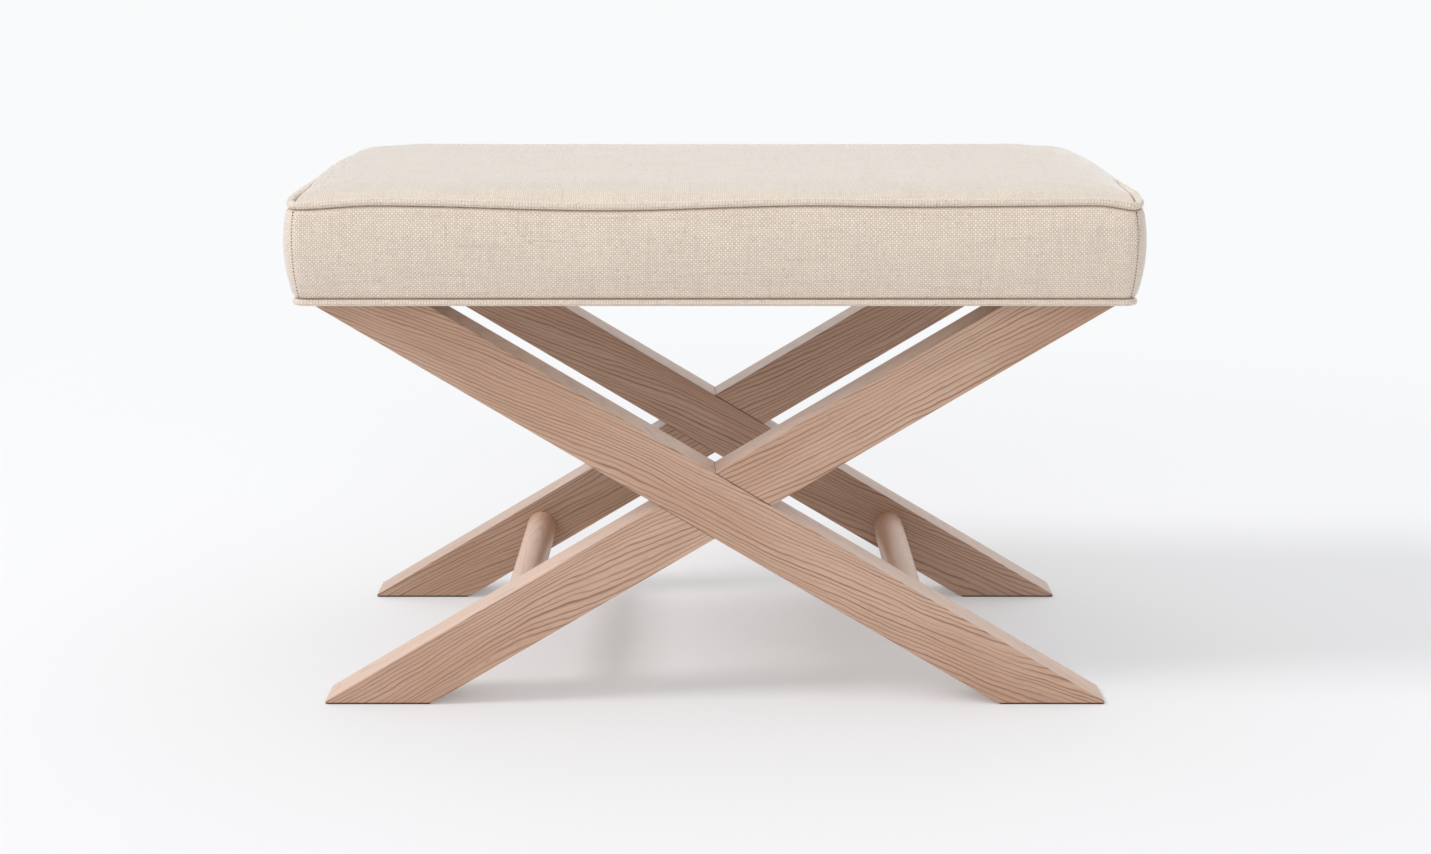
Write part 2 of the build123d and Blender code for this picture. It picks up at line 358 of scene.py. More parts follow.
def linen(name, cover):
    """Plain weave that follows the piece's own UV map, which is laid out in metres."""
    cloth = Surface(name, Roughness=0.5, Specular_IOR_Level=1.0, Sheen_Weight=0.8, Sheen_Roughness=0.35)
    weave_map = cloth.add("ShaderNodeUVMap", uv_map="weave").outputs[0]
    threads = cloth.stretched(weave_map, (1 / cover.thread_pitch,) * 3)
    across, along, _ = cloth.split(threads)
    wander_noise = {"Vector": threads, "Scale": 0.07, "Detail": 2.0}
    wander_reach = 0.9
    wander = cloth.add("ShaderNodeTexNoise", wander_noise).outputs["Color"]
    wander_across, wander_along, _ = cloth.split(wander)
    across = cloth.total(across, cloth.times(wander_across, wander_reach))
    along = cloth.total(along, cloth.times(wander_along, wander_reach))

    # Over and under: one product of waves is positive where the warp lies on top
    warp_wave = cloth.math("SINE", cloth.times(across, pi))
    weft_wave = cloth.math("SINE", cloth.times(along, pi))
    weave = cloth.times(warp_wave, weft_wave)
    warp_on_top = cloth.ramp(weave, -0.4, 0.4)
    crown = cloth.math("ABSOLUTE", weave)

    # Each thread has its own tone, which changes slowly along it, and some run thin and a little darker
    next_thread = 1.7
    change_along = 0.03
    weft_layer = 9.0
    warp_number = cloth.math("FLOOR", across)
    weft_number = cloth.math("FLOOR", along)
    warp_place = cloth.joined(cloth.times(warp_number, next_thread), cloth.times(along, change_along))
    weft_place = cloth.joined(
        cloth.times(across, change_along), cloth.times(weft_number, next_thread), weft_layer
    )
    warp_noise = cloth.noise(warp_place, detail=1.0)
    weft_noise = cloth.noise(weft_place, detail=1.0)
    warp = cloth.toned(cover.warp_colour, cloth.ramp(warp_noise, 0.25, 0.75, 0.95, 1.04))
    weft = cloth.toned(cover.weft_colour, cloth.ramp(weft_noise, 0.25, 0.75, 0.93, 1.05))
    thin = cloth.math("MAXIMUM", cloth.ramp(warp_noise, 0.36, 0.24), cloth.ramp(weft_noise, 0.36, 0.24))
    thread = cloth.mixed(warp_on_top, weft, warp)
    thread = cloth.mixed(cloth.times(thin, 0.1), thread, cover.dark_yarn_and_shade_colour)

    # Each crossing is a little lighter or darker, and a few hold a dark fleck
    crossing = cloth.joined(warp_number, weft_number)
    chance = cloth.add("ShaderNodeTexWhiteNoise", {0: crossing}, noise_dimensions="2D").outputs["Value"]
    thread = cloth.toned(thread, cloth.ramp(chance, 0.0, 1.0, 0.94, 1.04))
    thread = cloth.mixed(cloth.ramp(chance, 0.992, 0.996, 0.0, 0.3), thread, cover.dark_yarn_and_shade_colour)

    # Painted shade darkens the upper thread's sides, where they fall away, and the holes where four threads
    # meet
    beside_warp = cloth.math("SUBTRACT", 1.0, cloth.math("ABSOLUTE", warp_wave))
    beside_weft = cloth.math("SUBTRACT", 1.0, cloth.math("ABSOLUTE", weft_wave))
    warp_side = cloth.times(warp_on_top, beside_warp)
    weft_side = cloth.times(cloth.math("SUBTRACT", 1.0, warp_on_top), beside_weft)
    fall = cloth.ramp(cloth.total(warp_side, weft_side), 0.25, 1.0, 0.0, 0.36)
    hole = cloth.times(beside_warp, beside_weft)
    dark = cloth.math("MAXIMUM", fall, cloth.ramp(hole, 0.1, 0.8, 0.0, 0.8))
    colour = cloth.mixed(dark, thread, cover.dark_yarn_and_shade_colour)

    # Soft clouds over the whole panel, and painted brown shade in the turn at a seam
    cloud = cloth.ramp(cloth.noise(weave_map, scale=22.0, detail=3.0), 0.3, 0.7, 0.985, 1.015)
    seam = cloth.add("ShaderNodeAttribute", attribute_name="seam").outputs["Fac"]
    colour = cloth.mixed(cloth.times(seam, 0.85), cloth.toned(colour, cloud), cover.dark_yarn_and_shade_colour)
    height = cloth.math("SUBTRACT", crown, hole)
    return cloth.finish(colour, height, relief=0.4 * MM, strength=0.5)


def oak(name, wood, node, turn, slant, seed, shade_tone=1.0):
    """Oak whose growth rings run along a piece; turn carries the piece's length to the X axis.

    slant is how fast the rings drift across the piece along its length, and shade_tone a level of painted
    shade over its whole colour.
    """
    timber = Surface(name, Specular_IOR_Level=0.5)
    low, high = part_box(node)
    board_step = 0.83
    shift = board_step * seed
    grain = timber.turned((low + high) / 2, turn, shift)
    along, depth, width = timber.split(grain)

    # Distance from the heart of the tree, bent by slow swells and small waves along the grain
    swell_reach = 34.0 * MM
    wave_reach = 4.0 * MM
    heart_depth = 0.018 * (1 if seed % 2 else -1)
    heart_width = -0.075 - 0.012 * (seed % 3)
    drift = timber.times(timber.math("SUBTRACT", along, shift), slant)
    from_heart = timber.math("SUBTRACT", timber.math("SUBTRACT", width, drift), heart_width)
    ring_vector = timber.joined(0.0, timber.math("SUBTRACT", depth, heart_depth), from_heart)
    radius = timber.length(ring_vector)
    swell_noise = timber.noise(timber.stretched(grain, (3.2, 15.0, 15.0)), detail=1.0)
    wave_noise = timber.noise(timber.stretched(grain, (24.0, 70.0, 70.0)))
    swell = timber.times(timber.math("SUBTRACT", swell_noise, 0.5), swell_reach)
    waves = timber.times(timber.math("SUBTRACT", wave_noise, 0.5), wave_reach)
    bent = timber.total(radius, swell, waves)
    rings = timber.math("DIVIDE", bent, wood.ring_spacing)
    crowded = timber.times(timber.noise_along(rings, 0.12), 1.6)
    uneven = timber.times(timber.noise_along(rings, 0.6), 0.4)
    rings = timber.total(rings, crowded, uneven)
    within = timber.math("FRACT", rings)
    ring_number = timber.math("FLOOR", rings)

    # A growth line darkens slowly, ends sharply, and comes and goes along the piece; only the broad
    # faces, which lie across the rings, show it in full
    rise = timber.ramp(within, 0.5, 0.84)
    fall = timber.ramp(within, 0.88, 0.97, 1.0, 0.0)
    year_place = timber.joined(timber.times(ring_number, 1.37), timber.times(along, 7.0))
    year = timber.ramp(timber.noise(year_place, detail=1.0), 0.3, 0.65, 0.35, 1.0)
    _, facing, _ = timber.split(timber.add("ShaderNodeTexCoord").outputs["Normal"])
    broad = timber.ramp(timber.math("ABSOLUTE", facing), 0.2, 0.8, 0.3, 1.0)
    line = timber.times(rise, fall, year, broad)

    # Fibres and short open pores follow the bent rings
    def ring_place(lengthwise, crosswise):
        """Coordinates along and across the rings, each with its own scale."""
        return timber.joined(
            timber.times(along, lengthwise), timber.times(bent, crosswise), timber.times(depth, crosswise)
        )

    fibre = timber.noise(ring_place(24.0, 950.0), detail=3.0)
    pore = timber.ramp(timber.noise(ring_place(95.0, 1500.0), detail=1.0), 0.62, 0.72)
    cloud = timber.noise(timber.stretched(grain, (5.0, 22.0, 22.0)))
    colour = timber.mixed(timber.ramp(cloud, 0.3, 0.7), wood.pale_colour, wood.warm_colour)
    colour = timber.mixed(timber.times(line, 0.85), colour, wood.line_colour)
    # shade_tone scales the fibre tones as painted shade over the whole piece
    colour = timber.toned(colour, timber.ramp(fibre, 0.25, 0.75, 0.92 * shade_tone, 1.06 * shade_tone))
    colour = timber.mixed(timber.times(pore, 0.25), colour, wood.line_colour)

    height = timber.total(timber.times(line, -0.6), timber.times(pore, -0.5), timber.times(fibre, 0.4))
    gloss = timber.ramp(fibre, 0.2, 0.8, 0.36, 0.48)
    return timber, colour, height, gloss


def finished_oak(timber, colour, height, gloss):
    """Connect an oak's colour, relief and gloss."""
    return timber.finish(colour, height, relief=0.25 * MM, strength=0.35, roughness=gloss)


def lapped_oak(name, wood, node, turn, slant, seed, shade_tone, notch):
    """Oak of a leg, with a line of painted shade where the crossing leg lies in its notch.

    notch is 1 where the leg is notched behind, and -1 where it is notched in front.
    """
    joint_shade_width = 0.7 * MM
    fade_width = 1.5 * MM
    notch_edge = 0.2 * MM
    timber, colour, height, gloss = oak(name, wood, node, turn, slant, seed, shade_tone)
    low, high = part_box(node)
    pad_low, pad_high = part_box("front_left_foot_pad")
    half = (pad_high.x - pad_low.x) / 2 * sin(abs(turn[1]))
    crossing = timber.turned((low + high) / 2, (0.0, -turn[1], 0.0))
    _, depth, across = timber.split(crossing)
    from_edge = timber.math("ABSOLUTE", timber.math("SUBTRACT", timber.math("ABSOLUTE", across), half))
    edge = timber.ramp(from_edge, joint_shade_width, fade_width, 1.0, 0.0)
    notched = timber.ramp(timber.times(depth, notch), -notch_edge, notch_edge)
    # Painted shade along the crossing leg's edges, in the joint's gap
    colour = timber.mixed(timber.times(edge, notched, 0.9), colour, wood.joint_shade_colour)
    return finished_oak(timber, colour, height, gloss)


def felt(name):
    """Dark pressed felt of the pads."""
    cloth = Surface(name, Roughness=0.95, Specular_IOR_Level=0.1, Sheen_Weight=0.3)
    fuzz = cloth.noise(cloth.place(), scale=900.0, detail=4.0, roughness=0.7)
    colour = cloth.mixed(cloth.ramp(fuzz, 0.3, 0.7), shown(58, 42, 34), shown(92, 70, 58))
    return cloth.finish(colour, fuzz, relief=0.4 * MM, strength=0.6)


def plywood(name, node):
    """Birch plywood: plies along the edges and a figured face."""
    panel = Surface(name, Roughness=0.6, Specular_IOR_Level=0.3)
    place = panel.place()
    low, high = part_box(node)
    ply_count = 7
    _, _, height = panel.split(place)
    level = panel.times(panel.math("SUBTRACT", height, low.z), ply_count / (high.z - low.z))
    ply = panel.math("MODULO", panel.math("FLOOR", level), 2.0)
    figure = panel.noise(panel.stretched(place, (4.0, 60.0, 700.0)), detail=4.0)
    colour = panel.mixed(ply, shown(214, 184, 140), shown(186, 148, 104))
    colour = panel.toned(colour, panel.ramp(figure, 0.25, 0.75, 0.86, 1.06))
    return panel.finish(colour, figure, relief=0.2 * MM, strength=0.4)


def dust_cloth(name):
    """Ecru spun cloth with the quilted points that bond its fibres."""
    cloth = Surface(name, Roughness=0.9, Specular_IOR_Level=0.2, Sheen_Weight=0.2)
    weave_map = cloth.add("ShaderNodeUVMap", uv_map="weave").outputs[0]
    across, along, _ = cloth.split(cloth.stretched(weave_map, (900.0, 900.0, 900.0)))
    dots = cloth.times(cloth.math("SINE", across), cloth.math("SINE", along))
    fibre = cloth.noise(cloth.stretched(weave_map, (420.0, 900.0, 0.0)), detail=4.0)
    bonded = cloth.ramp(dots, 0.3, 0.8)
    colour = cloth.mixed(cloth.ramp(fibre, 0.3, 0.7), shown(198, 188, 174), shown(212, 204, 191))
    colour = cloth.toned(colour, cloth.ramp(bonded, 0.0, 1.0, 1.0, 0.92))
    height = cloth.total(bonded, fibre)
    return cloth.finish(colour, height, relief=0.2 * MM, strength=0.5)


def zinc(name):
    """Bright zinc plate with faint turning marks and clouded spangle."""
    metal = Surface(name, Metallic=1.0, Roughness=0.35)
    place = metal.place()
    spangle = metal.noise(place, scale=300.0, detail=3.0)
    marks = metal.noise(metal.stretched(place, (200.0, 200.0, 4000.0)))
    colour = metal.mixed(metal.ramp(spangle, 0.3, 0.7), shown(186, 188, 192), shown(214, 214, 212))
    gloss = metal.ramp(spangle, 0.3, 0.7, 0.28, 0.42)
    return metal.finish(colour, marks, relief=0.05 * MM, strength=0.4, roughness=gloss)


def foam(name):
    """Open-cell foam."""
    block = Surface(name, Roughness=0.95, Specular_IOR_Level=0.1)
    cells = block.add("ShaderNodeTexVoronoi", {"Vector": block.place(), "Scale": 700.0}).outputs[0]
    cloud = block.noise(block.place(), scale=14.0, detail=3.0)
    colour = block.mixed(block.ramp(cloud, 0.3, 0.7), shown(236, 222, 178), shown(226, 208, 158))
    colour = block.toned(colour, block.ramp(cells, 0.0, 0.6, 0.78, 1.04))
    return block.finish(colour, cells, relief=0.5 * MM, strength=0.6)


def wadding(name):
    """White polyester wadding with loose fibres."""
    fill = Surface(name, Roughness=0.95, Specular_IOR_Level=0.1, Sheen_Weight=0.3)
    place = fill.place()
    strands = fill.noise(fill.stretched(place, (160.0, 420.0, 420.0)), detail=6.0, roughness=0.7)
    colour = fill.mixed(fill.ramp(strands, 0.3, 0.7), shown(224, 224, 222), shown(246, 246, 244))
    return fill.finish(colour, strands, relief=1.2 * MM, strength=0.6)


def cotton_cord(name):
    """Twisted white cotton; the UV map runs along the cord and round it, in metres."""
    cord = Surface(name, Roughness=0.9, Specular_IOR_Level=0.15)
    weave_map = cord.add("ShaderNodeUVMap", uv_map="weave").outputs[0]
    along, around, _ = cord.split(weave_map)
    strand = cord.math("SINE", cord.times(cord.total(along, cord.times(around, 0.8)), 1900.0))
    fibre = cord.noise(cord.stretched(weave_map, (900.0, 900.0, 0.0)), detail=3.0)
    colour = cord.mixed(cord.ramp(strand, -1.0, 1.0), shown(206, 198, 182), shown(238, 232, 220))
    colour = cord.toned(colour, cord.ramp(fibre, 0.25, 0.75, 0.92, 1.04))
    return cord.finish(colour, strand, relief=0.4 * MM, strength=0.6)


def sewing_thread(name):
    """Brown twisted thread of the corner seams."""
    thread = Surface(name, Roughness=0.7, Specular_IOR_Level=0.25)
    twist = thread.noise(thread.stretched(thread.place(), (2500.0, 2500.0, 1400.0)))
    colour = thread.mixed(thread.ramp(twist, 0.3, 0.7), shown(84, 60, 42), shown(116, 88, 66))
    return thread.finish(colour, twist, relief=0.1 * MM, strength=0.5)


class SeatForm:
    """Outline, heights and seams of the seat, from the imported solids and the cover's settings."""

    bend_spacing = 1.1 * MM
    run_spacing = 4.0 * MM
    head_roll_depth = 5.0 * MM
    foot_roll_depth = 2.6 * MM
    corner_groove = 0.45 * MM
    corner_groove_width = 1.2 * MM
    corner_crowding = 1.6
    seam_reach = 20.0 * MM

    # Gaps and overlaps where the panels meet the piping and the deck
    crown_lift = 0.3 * MM
    crown_edge_share = 0.8
    head_overlap = 0.5 * MM
    foot_gap = 0.2 * MM
    tuck_gap = 0.1 * MM
    arc_gap = 0.3 * MM

    def __init__(self, cover):
        front_low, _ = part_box("front_boxing")
        _, side_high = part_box("right_boxing")
        _, crown_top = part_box("top_panel")
        _, deck_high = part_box("seat_deck")
        self.cover = cover
        self.half_width = side_high.x
        self.half_depth = -front_low.y
        self.corner = cover.corner_radius
        self.hem_bottom = front_low.z
        self.deck_top = deck_high.z
        self.deck_set_back = self.half_width - deck_high.x
        self.top_welt = self.welt("top_welt", cover.upper_piping, cover.upper_inset)
        self.bottom_welt = self.welt("bottom_welt", cover.lower_piping, 0.0)
        self.crown_base = self.top_welt.height + self.crown_lift
        self.slack = CLOTH_SLACK
        self.crown_rise = crown_top.z - self.crown_base - self.slack
        self.crown_set_back = self.top_welt.set_back + self.crown_edge_share * self.top_welt.radius
        self.boxing_head = self.top_welt.height - self.top_welt.radius + self.head_overlap
        self.boxing_foot = self.bottom_welt.height + self.bottom_welt.radius + self.foot_gap
        self.tuck_set_back = self.deck_set_back - cover.fabric_thickness - self.tuck_gap
        self.boxing_arc = self.arc_through_boxing()
        self.sides = [self.side(quarter) for quarter in range(len(SIDES))]

    def welt(self, node, thickness, inset):
        """Radius, height and set back of one ring of piping, whose foot is level with its solid's."""
        low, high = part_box(node)
        radius = thickness / 2
        return SimpleNamespace(
            radius=radius,
            height=low.z + radius,
            set_back=self.half_width - high.x + radius + inset,
        )

    def side(self, quarter):
        """Columns along one side, from the seam in one corner to the seam in the next.

        lean is a column's turn from the side's own facing, run its place on the straight from -1
        to 1, and length its distance from the side's middle along the fullest outline.
        """
        lengthwise = quarter % 2 == 0
        turn = self.cover.seam_turn if lengthwise else QUARTER_TURN - self.cover.seam_turn
        along, across = self.half_width, self.half_depth
        if not lengthwise:
            along, across = across, along
        straight = 2 * (along - self.corner)
        bends = round(turn * self.corner / self.bend_spacing)
        runs = round(straight / self.run_spacing)
        bend = turn * (1 - np.linspace(0, 1, bends, endpoint=False) ** self.corner_crowding)
        lean = np.concatenate([-bend, np.zeros(runs + 1), bend[::-1]])
        run = np.concatenate([-np.ones(bends), np.linspace(-1, 1, runs + 1), np.ones(bends)])
        length = lean * self.corner + run * straight / 2
        return SimpleNamespace(
            quarter=quarter, along=along, across=across, lean=lean, run=run, length=length
        )

    def plan(self, side, set_back, corner=None):
        """Points in plan on a side's columns, set back from the fullest outline."""
        if corner is None:
            corner = np.maximum(self.corner - set_back, self.cover.fabric_thickness)
        reach = side.along - set_back - corner
        depth = side.across - set_back - corner
        x = side.run * reach + corner * np.sin(side.lean)
        y = -depth - corner * np.cos(side.lean)
        for _ in range(side.quarter):
            x, y = -y, x
        return np.stack(np.broadcast_arrays(x, y), axis=-1)

    def outward(self, side):
        """Directions in plan that a side's columns face."""
        angle = side.lean + (side.quarter - 1) * QUARTER_TURN
        return np.stack([np.cos(angle), np.sin(angle)], axis=-1)

    def around(self, values):
        """Values on the columns of the four sides as one closed loop."""
        return np.concatenate([values(side)[..., :-1, :] for side in self.sides], axis=-2)

    def arc_through_boxing(self):
        """Centre and radius of the circle through the boxing's top, fullest line and foot."""
        cover = self.cover
        top = self.top_welt.height - self.top_welt.radius - self.arc_gap
        foot = self.bottom_welt.height + self.bottom_welt.radius + self.arc_gap
        ax, ay = cover.boxing_top_set_back, top
        bx, by = 0.0, top - cover.boxing_fullness_drop
        cx, cy = cover.boxing_bottom_set_back, foot
        turn = 2 * (ax * (by - cy) + bx * (cy - ay) + cx * (ay - by))
        squares = (ax**2 + ay**2, bx**2 + by**2, cx**2 + cy**2)
        x = (squares[0] * (by - cy) + squares[1] * (cy - ay) + squares[2] * (ay - by)) / turn
        y = (squares[0] * (cx - bx) + squares[1] * (ax - cx) + squares[2] * (bx - ax)) / turn
        return x, y, hypot(ax - x, ay - y)

    def boxing_set_back(self, height):
        """Set back of the boxing's bulged face at a height, without its rolled edges."""
        x, z, radius = self.boxing_arc
        return x - np.sqrt(radius**2 - (height - z) ** 2) + self.slack

    def share_along(self, quarter, length):
        """Share of a side's length, from its first corner seam to its last."""
        start, end = self.sides[quarter].length[[0, -1]]
        return np.clip((length - start) / (end - start), 0, 1)

    def seam_rise(self, quarter, length):
        """How far the upper seam is drawn up at a length from a side's middle."""
        return eased(SEAM_RISES[quarter], self.share_along(quarter, length)) * MM

    def swell(self, x, y):
        """How far the crown swells out at the short side nearest to a place."""
        right = eased(SWELLS["right"], self.share_along(SIDES.index("right"), y))
        left = eased(SWELLS["left"], self.share_along(SIDES.index("left"), -y))
        return np.where(x > 0, right, left) * MM

    def crown_height(self, x, y):
        """Height of the crowned top at a place in plan, which leaves its seam at the seam's level."""
        cover = self.cover
        inside_x = self.half_width - self.crown_set_back - np.abs(x)
        inside_y = self.half_depth - self.crown_set_back - np.abs(y)
        rest_x = 1 - np.clip(inside_x / cover.end_shoulder, 0, 1)
        rest_y = 1 - np.clip(inside_y / cover.crown_shoulder, 0, 1)
        climb_x = np.sqrt(1 - rest_x**cover.end_edge_power)
        climb_y = 1 - rest_y**cover.crown_edge_power
        climb = climb_x * climb_y
        seam = 0.0
        weight = 0.0
        for quarter in range(len(SIDES)):
            across, along = (-y, x) if quarter % 2 == 0 else (x, y)
            if quarter > 1:
                across, along = -across, -along
            reach = self.half_depth if quarter % 2 == 0 else self.half_width
            inside = np.maximum(reach - self.crown_set_back - across, 0)
            share = np.exp(-inside / self.seam_reach)
            seam = seam + share * self.seam_rise(quarter, along)
            weight = weight + share
        return self.crown_base + self.crown_rise * climb + seam / weight * (1 - climb)


def grid_mesh(name, points, weave=None, seam=None, ring_rows=False, ring_columns=False, capped=False):
    """Mesh of quads over a grid of points; its faces point along columns crossed with rows.

    weave is the UV map, with one more row or column than the points where these close in a ring.
    """
    rows, columns = points.shape[:2]
    row, column = np.meshgrid(
        np.arange(rows if ring_rows else rows - 1),
        np.arange(columns if ring_columns else columns - 1),
        indexing="ij",
    )
    corners = [(row, column), (row, column + 1), (row + 1, column + 1), (row + 1, column)]
    numbers = [r % rows * columns + c % columns for r, c in corners]
    faces = np.stack(numbers, axis=-1).reshape(-1, 4).tolist()
    if capped:
        last = (rows - 1) * columns
        faces += [list(range(columns))[::-1], list(range(last, last + columns))]
    mesh = bpy.data.meshes.new(name)
    mesh.from_pydata(points.reshape(-1, 3).tolist(), [], faces)
    if weave is not None:
        layer = mesh.uv_layers.new(name="weave")
        layer.uv.foreach_set("vector", np.stack([weave[r, c] for r, c in corners], axis=-2).ravel())
    # seam is the share of painted shade that the linen blends in beside a seam
    if seam is not None:
        shade = mesh.attributes.new("seam", "FLOAT", "POINT")
        shade.data.foreach_set("value", seam.ravel())
    mesh.shade_smooth()
    return mesh


def add_object(mesh):
    """Object at the origin for a mesh."""
    piece = bpy.data.objects.new(mesh.name, mesh)
    bpy.context.scene.collection.objects.link(piece)
    return piece


def settle(piece):
    """Turn what a piece's modifiers make into its plain mesh."""
    bpy.context.view_layer.update()
    evaluated = piece.evaluated_get(bpy.context.evaluated_depsgraph_get())
    mesh = bpy.data.meshes.new_from_object(evaluated)
    draft = piece.data
    piece.modifiers.clear()
    piece.data = mesh
    bpy.data.meshes.remove(draft)
    mesh.name = piece.name


def thicken(piece, thickness):
    """Give a sheet its thickness on the side away from its faces."""
    wall = piece.modifiers.new("thickness", "SOLIDIFY")
    wall.thickness = thickness
    wall.offset = -1.0
    settle(piece)


def arc_lengths(line):
    """Distance along a line of points to each of them."""
    return np.concatenate([[0.0], np.cumsum(np.linalg.norm(np.diff(line, axis=0), axis=1))])


def spaced(places, gap):
    """Numbers of the places that lie at least a gap apart, with the first and the last."""
    picked = [0]
    for number, place in enumerate(places):
        if place - places[picked[-1]] >= gap and places[-1] - place >= gap:
            picked.append(number)
    return np.array([*picked, len(places) - 1])


def carried(values, from_places, to_places):
    """Values at more places along the first axis, on smooth curves through the given ones."""
    slopes = np.gradient(values, from_places, axis=0)
    index = np.clip(np.searchsorted(from_places, to_places, side="right") - 1, 0, len(from_places) - 2)
    gap = (from_places[index + 1] - from_places[index])[:, None, None]
    step = (to_places - from_places[index])[:, None, None] / gap
    ease = step**2 * (3 - 2 * step)
    bow = gap * step * (1 - step) * ((1 - step) * slopes[index] - step * slopes[index + 1])
    return values[index] + ease * (values[index + 1] - values[index]) + bow


def relaxed(points, free):
    """Grid of points after the fabric has settled over its padding, which presses it outward.

    A coarse copy is run as cloth that is held along its border and wherever it isn't free, and no
    point moves further than the limit.
    """
    row_places = arc_lengths(points[:, points.shape[1] // 2])
    column_places = arc_lengths(points[points.shape[0] // 2])
    rows = spaced(row_places, CLOTH_SPACING)
    columns = spaced(column_places, CLOTH_SPACING)
    coarse = points[np.ix_(rows, columns)]
    held = ~free[np.ix_(rows, columns)]
    held[[0, -1]] = True
    held[:, [0, -1]] = True
    draft = add_object(grid_mesh("cloth_draft", coarse))
    pins = draft.vertex_groups.new(name="held")
    pins.add(np.flatnonzero(held).tolist(), 1.0, "REPLACE")
    cloth = draft.modifiers.new("cloth", "CLOTH")
    cloth.settings.vertex_group_mass = pins.name
    cloth.settings.effector_weights.gravity = 0.0
    cloth.settings.use_pressure = True
    cloth.settings.uniform_pressure_force = CLOTH_PRESSURE
    cloth.collision_settings.use_collision = False
    scene = bpy.context.scene
    for number in range(1, CLOTH_FRAMES + 1):
        scene.frame_set(number)
    evaluated = draft.evaluated_get(bpy.context.evaluated_depsgraph_get())
    moved = np.empty(coarse.size, dtype=np.float32)
    evaluated.data.vertices.foreach_get("co", moved)
    scene.frame_set(1)
    mesh = draft.data
    bpy.data.objects.remove(draft)
    bpy.data.meshes.remove(mesh)
    shift = moved.reshape(coarse.shape) - coarse
    shift *= CLOTH_LIMIT / (CLOTH_LIMIT + np.linalg.norm(shift, axis=-1, keepdims=True))
    shift = carried(shift, row_places[rows], row_places).swapaxes(0, 1)
    return points + carried(shift, column_places[columns], column_places).swapaxes(0, 1)


def dress(piece, material, slot, *nodes):
    """Give a finished piece its material and body, and hide the solids that it stands for; slot is not
    used.
    """
    piece.data.materials.clear()
    piece.data.materials.append(material)
    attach(piece, BODY)
    if nodes:
        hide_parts(*nodes)


def finish_node(node, material):
    """Give a solid that stays in view its material."""
    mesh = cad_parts[node].data
    mesh.materials.clear()
    mesh.materials.append(material)


class FOOTSTOOL_OT_frame(Operator):
    """Finish the crossed legs and the stretchers in oak"""

    bl_idname = "footstool.frame"
    bl_label = "Oak frame"

    def execute(self, context):
        wood = context.scene.footstool_wood
        low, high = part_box("front_over_leg")
        pad_low, pad_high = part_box("front_left_foot_pad")
        span = high.x - low.x
        height = high.z - low.z
        foot_cut = pad_high.x - pad_low.x
        lean = atan2(height, span - foot_cut)
        seed = 1
        # The rear legs get painted shade all over, for the shadow under the seat
        for side, shade_tone in (("front", 1.0), ("rear", wood.rear_shade_tone)):
            for leg, turn, slant, notch in (("over", -lean, 0.13, 1), ("under", lean, -0.05, -1)):
                node = f"{side}_{leg}_leg"
                material = lapped_oak(f"oak_{node}", wood, node, (0.0, turn, 0.0), slant, seed, shade_tone, notch)
                finish_node(node, material)
                seed += 1
        for side in ("left", "right"):
            node = f"{side}_stretcher"
            turn = (0.0, 0.0, -QUARTER_TURN)
            finish_node(node, finished_oak(*oak(f"oak_{node}", wood, node, turn, 0.0, seed)))
            seed += 1
        return {"FINISHED"}


class FOOTSTOOL_OT_fittings(Operator):
    """Finish the foot pads, the deck and the fasteners"""

    bl_idname = "footstool.fittings"
    bl_label = "Pads, deck and fasteners"

    def execute(self, context):
        pad_felt = felt("brown_felt")
        for end in ("front", "rear"):
            for side in ("left", "right"):
                finish_node(f"{end}_{side}_foot_pad", pad_felt)
        finish_node("seat_deck", plywood("birch_plywood", "seat_deck"))
        plate = zinc("zinc_plate")
        for node in ("leg_bolts", "bolt_washers", "tee_nuts"):
            finish_node(node, plate)
        return {"FINISHED"}


def padding_levels(form, inside, base):
    """Loops of points up the padding's sides and in over its crown, a distance inside the cover."""
    side_steps = 9
    crown_insets = np.array([2.5, 6.0, 12.0, 22.0, 38.0, 60.0, 85.0, 115.0, 150.0]) * MM
    shoulder_drop = 7.0 * MM
    corner_growth = 0.5
    shoulder = form.crown_base - inside - shoulder_drop
    levels = []
    for height in np.linspace(base, shoulder, side_steps):
        set_back = form.boxing_set_back(height) + inside
        plan = form.around(lambda side: form.plan(side, set_back))
        levels.append(np.column_stack([plan, np.full(len(plan), height)]))
    for inset in crown_insets:
        set_back = form.crown_set_back + inside + inset
        corner = form.corner + corner_growth * inset
        plan = form.around(lambda side: form.plan(side, set_back, corner))
        height = form.crown_height(plan[:, 0], plan[:, 1]) - inside
        levels.append(np.column_stack([plan, height]))
    return levels


class FOOTSTOOL_OT_padding(Operator):
    """Model the foam block and the wadding wrapped over it"""

    bl_idname = "footstool.padding"
    bl_label = "Foam and wadding"

    wadding_thickness = 8.0 * MM
    clearance = 0.8 * MM
    deck_gap = 0.1 * MM

    def execute(self, context):
        form = SeatForm(context.scene.footstool_cover)
        wrap_inside = form.cover.fabric_thickness + self.clearance
        hollow_inside = wrap_inside + self.wadding_thickness
        foam_inside = hollow_inside + self.clearance
        base = form.deck_top + self.deck_gap
        core = np.array(padding_levels(form, foam_inside, base))
        block = add_object(grid_mesh("foam_block", core, ring_columns=True, capped=True))
        dress(block, foam("cream_foam"), "foam", "foam_core")
        hollow = padding_levels(form, hollow_inside, base)
        outside = padding_levels(form, wrap_inside, base)
        shell = np.array(hollow[::-1] + outside)
        wrap = add_object(grid_mesh("wadding_wrap", shell, ring_columns=True, capped=True))
        dress(wrap, wadding("white_wadding"), "wadding", "batting_wrap")
        return {"FINISHED"}


def cover_linen(cover):
    """The one linen that the whole cover is cut from."""
    return bpy.data.materials.get("natural_linen") or linen("natural_linen", cover)


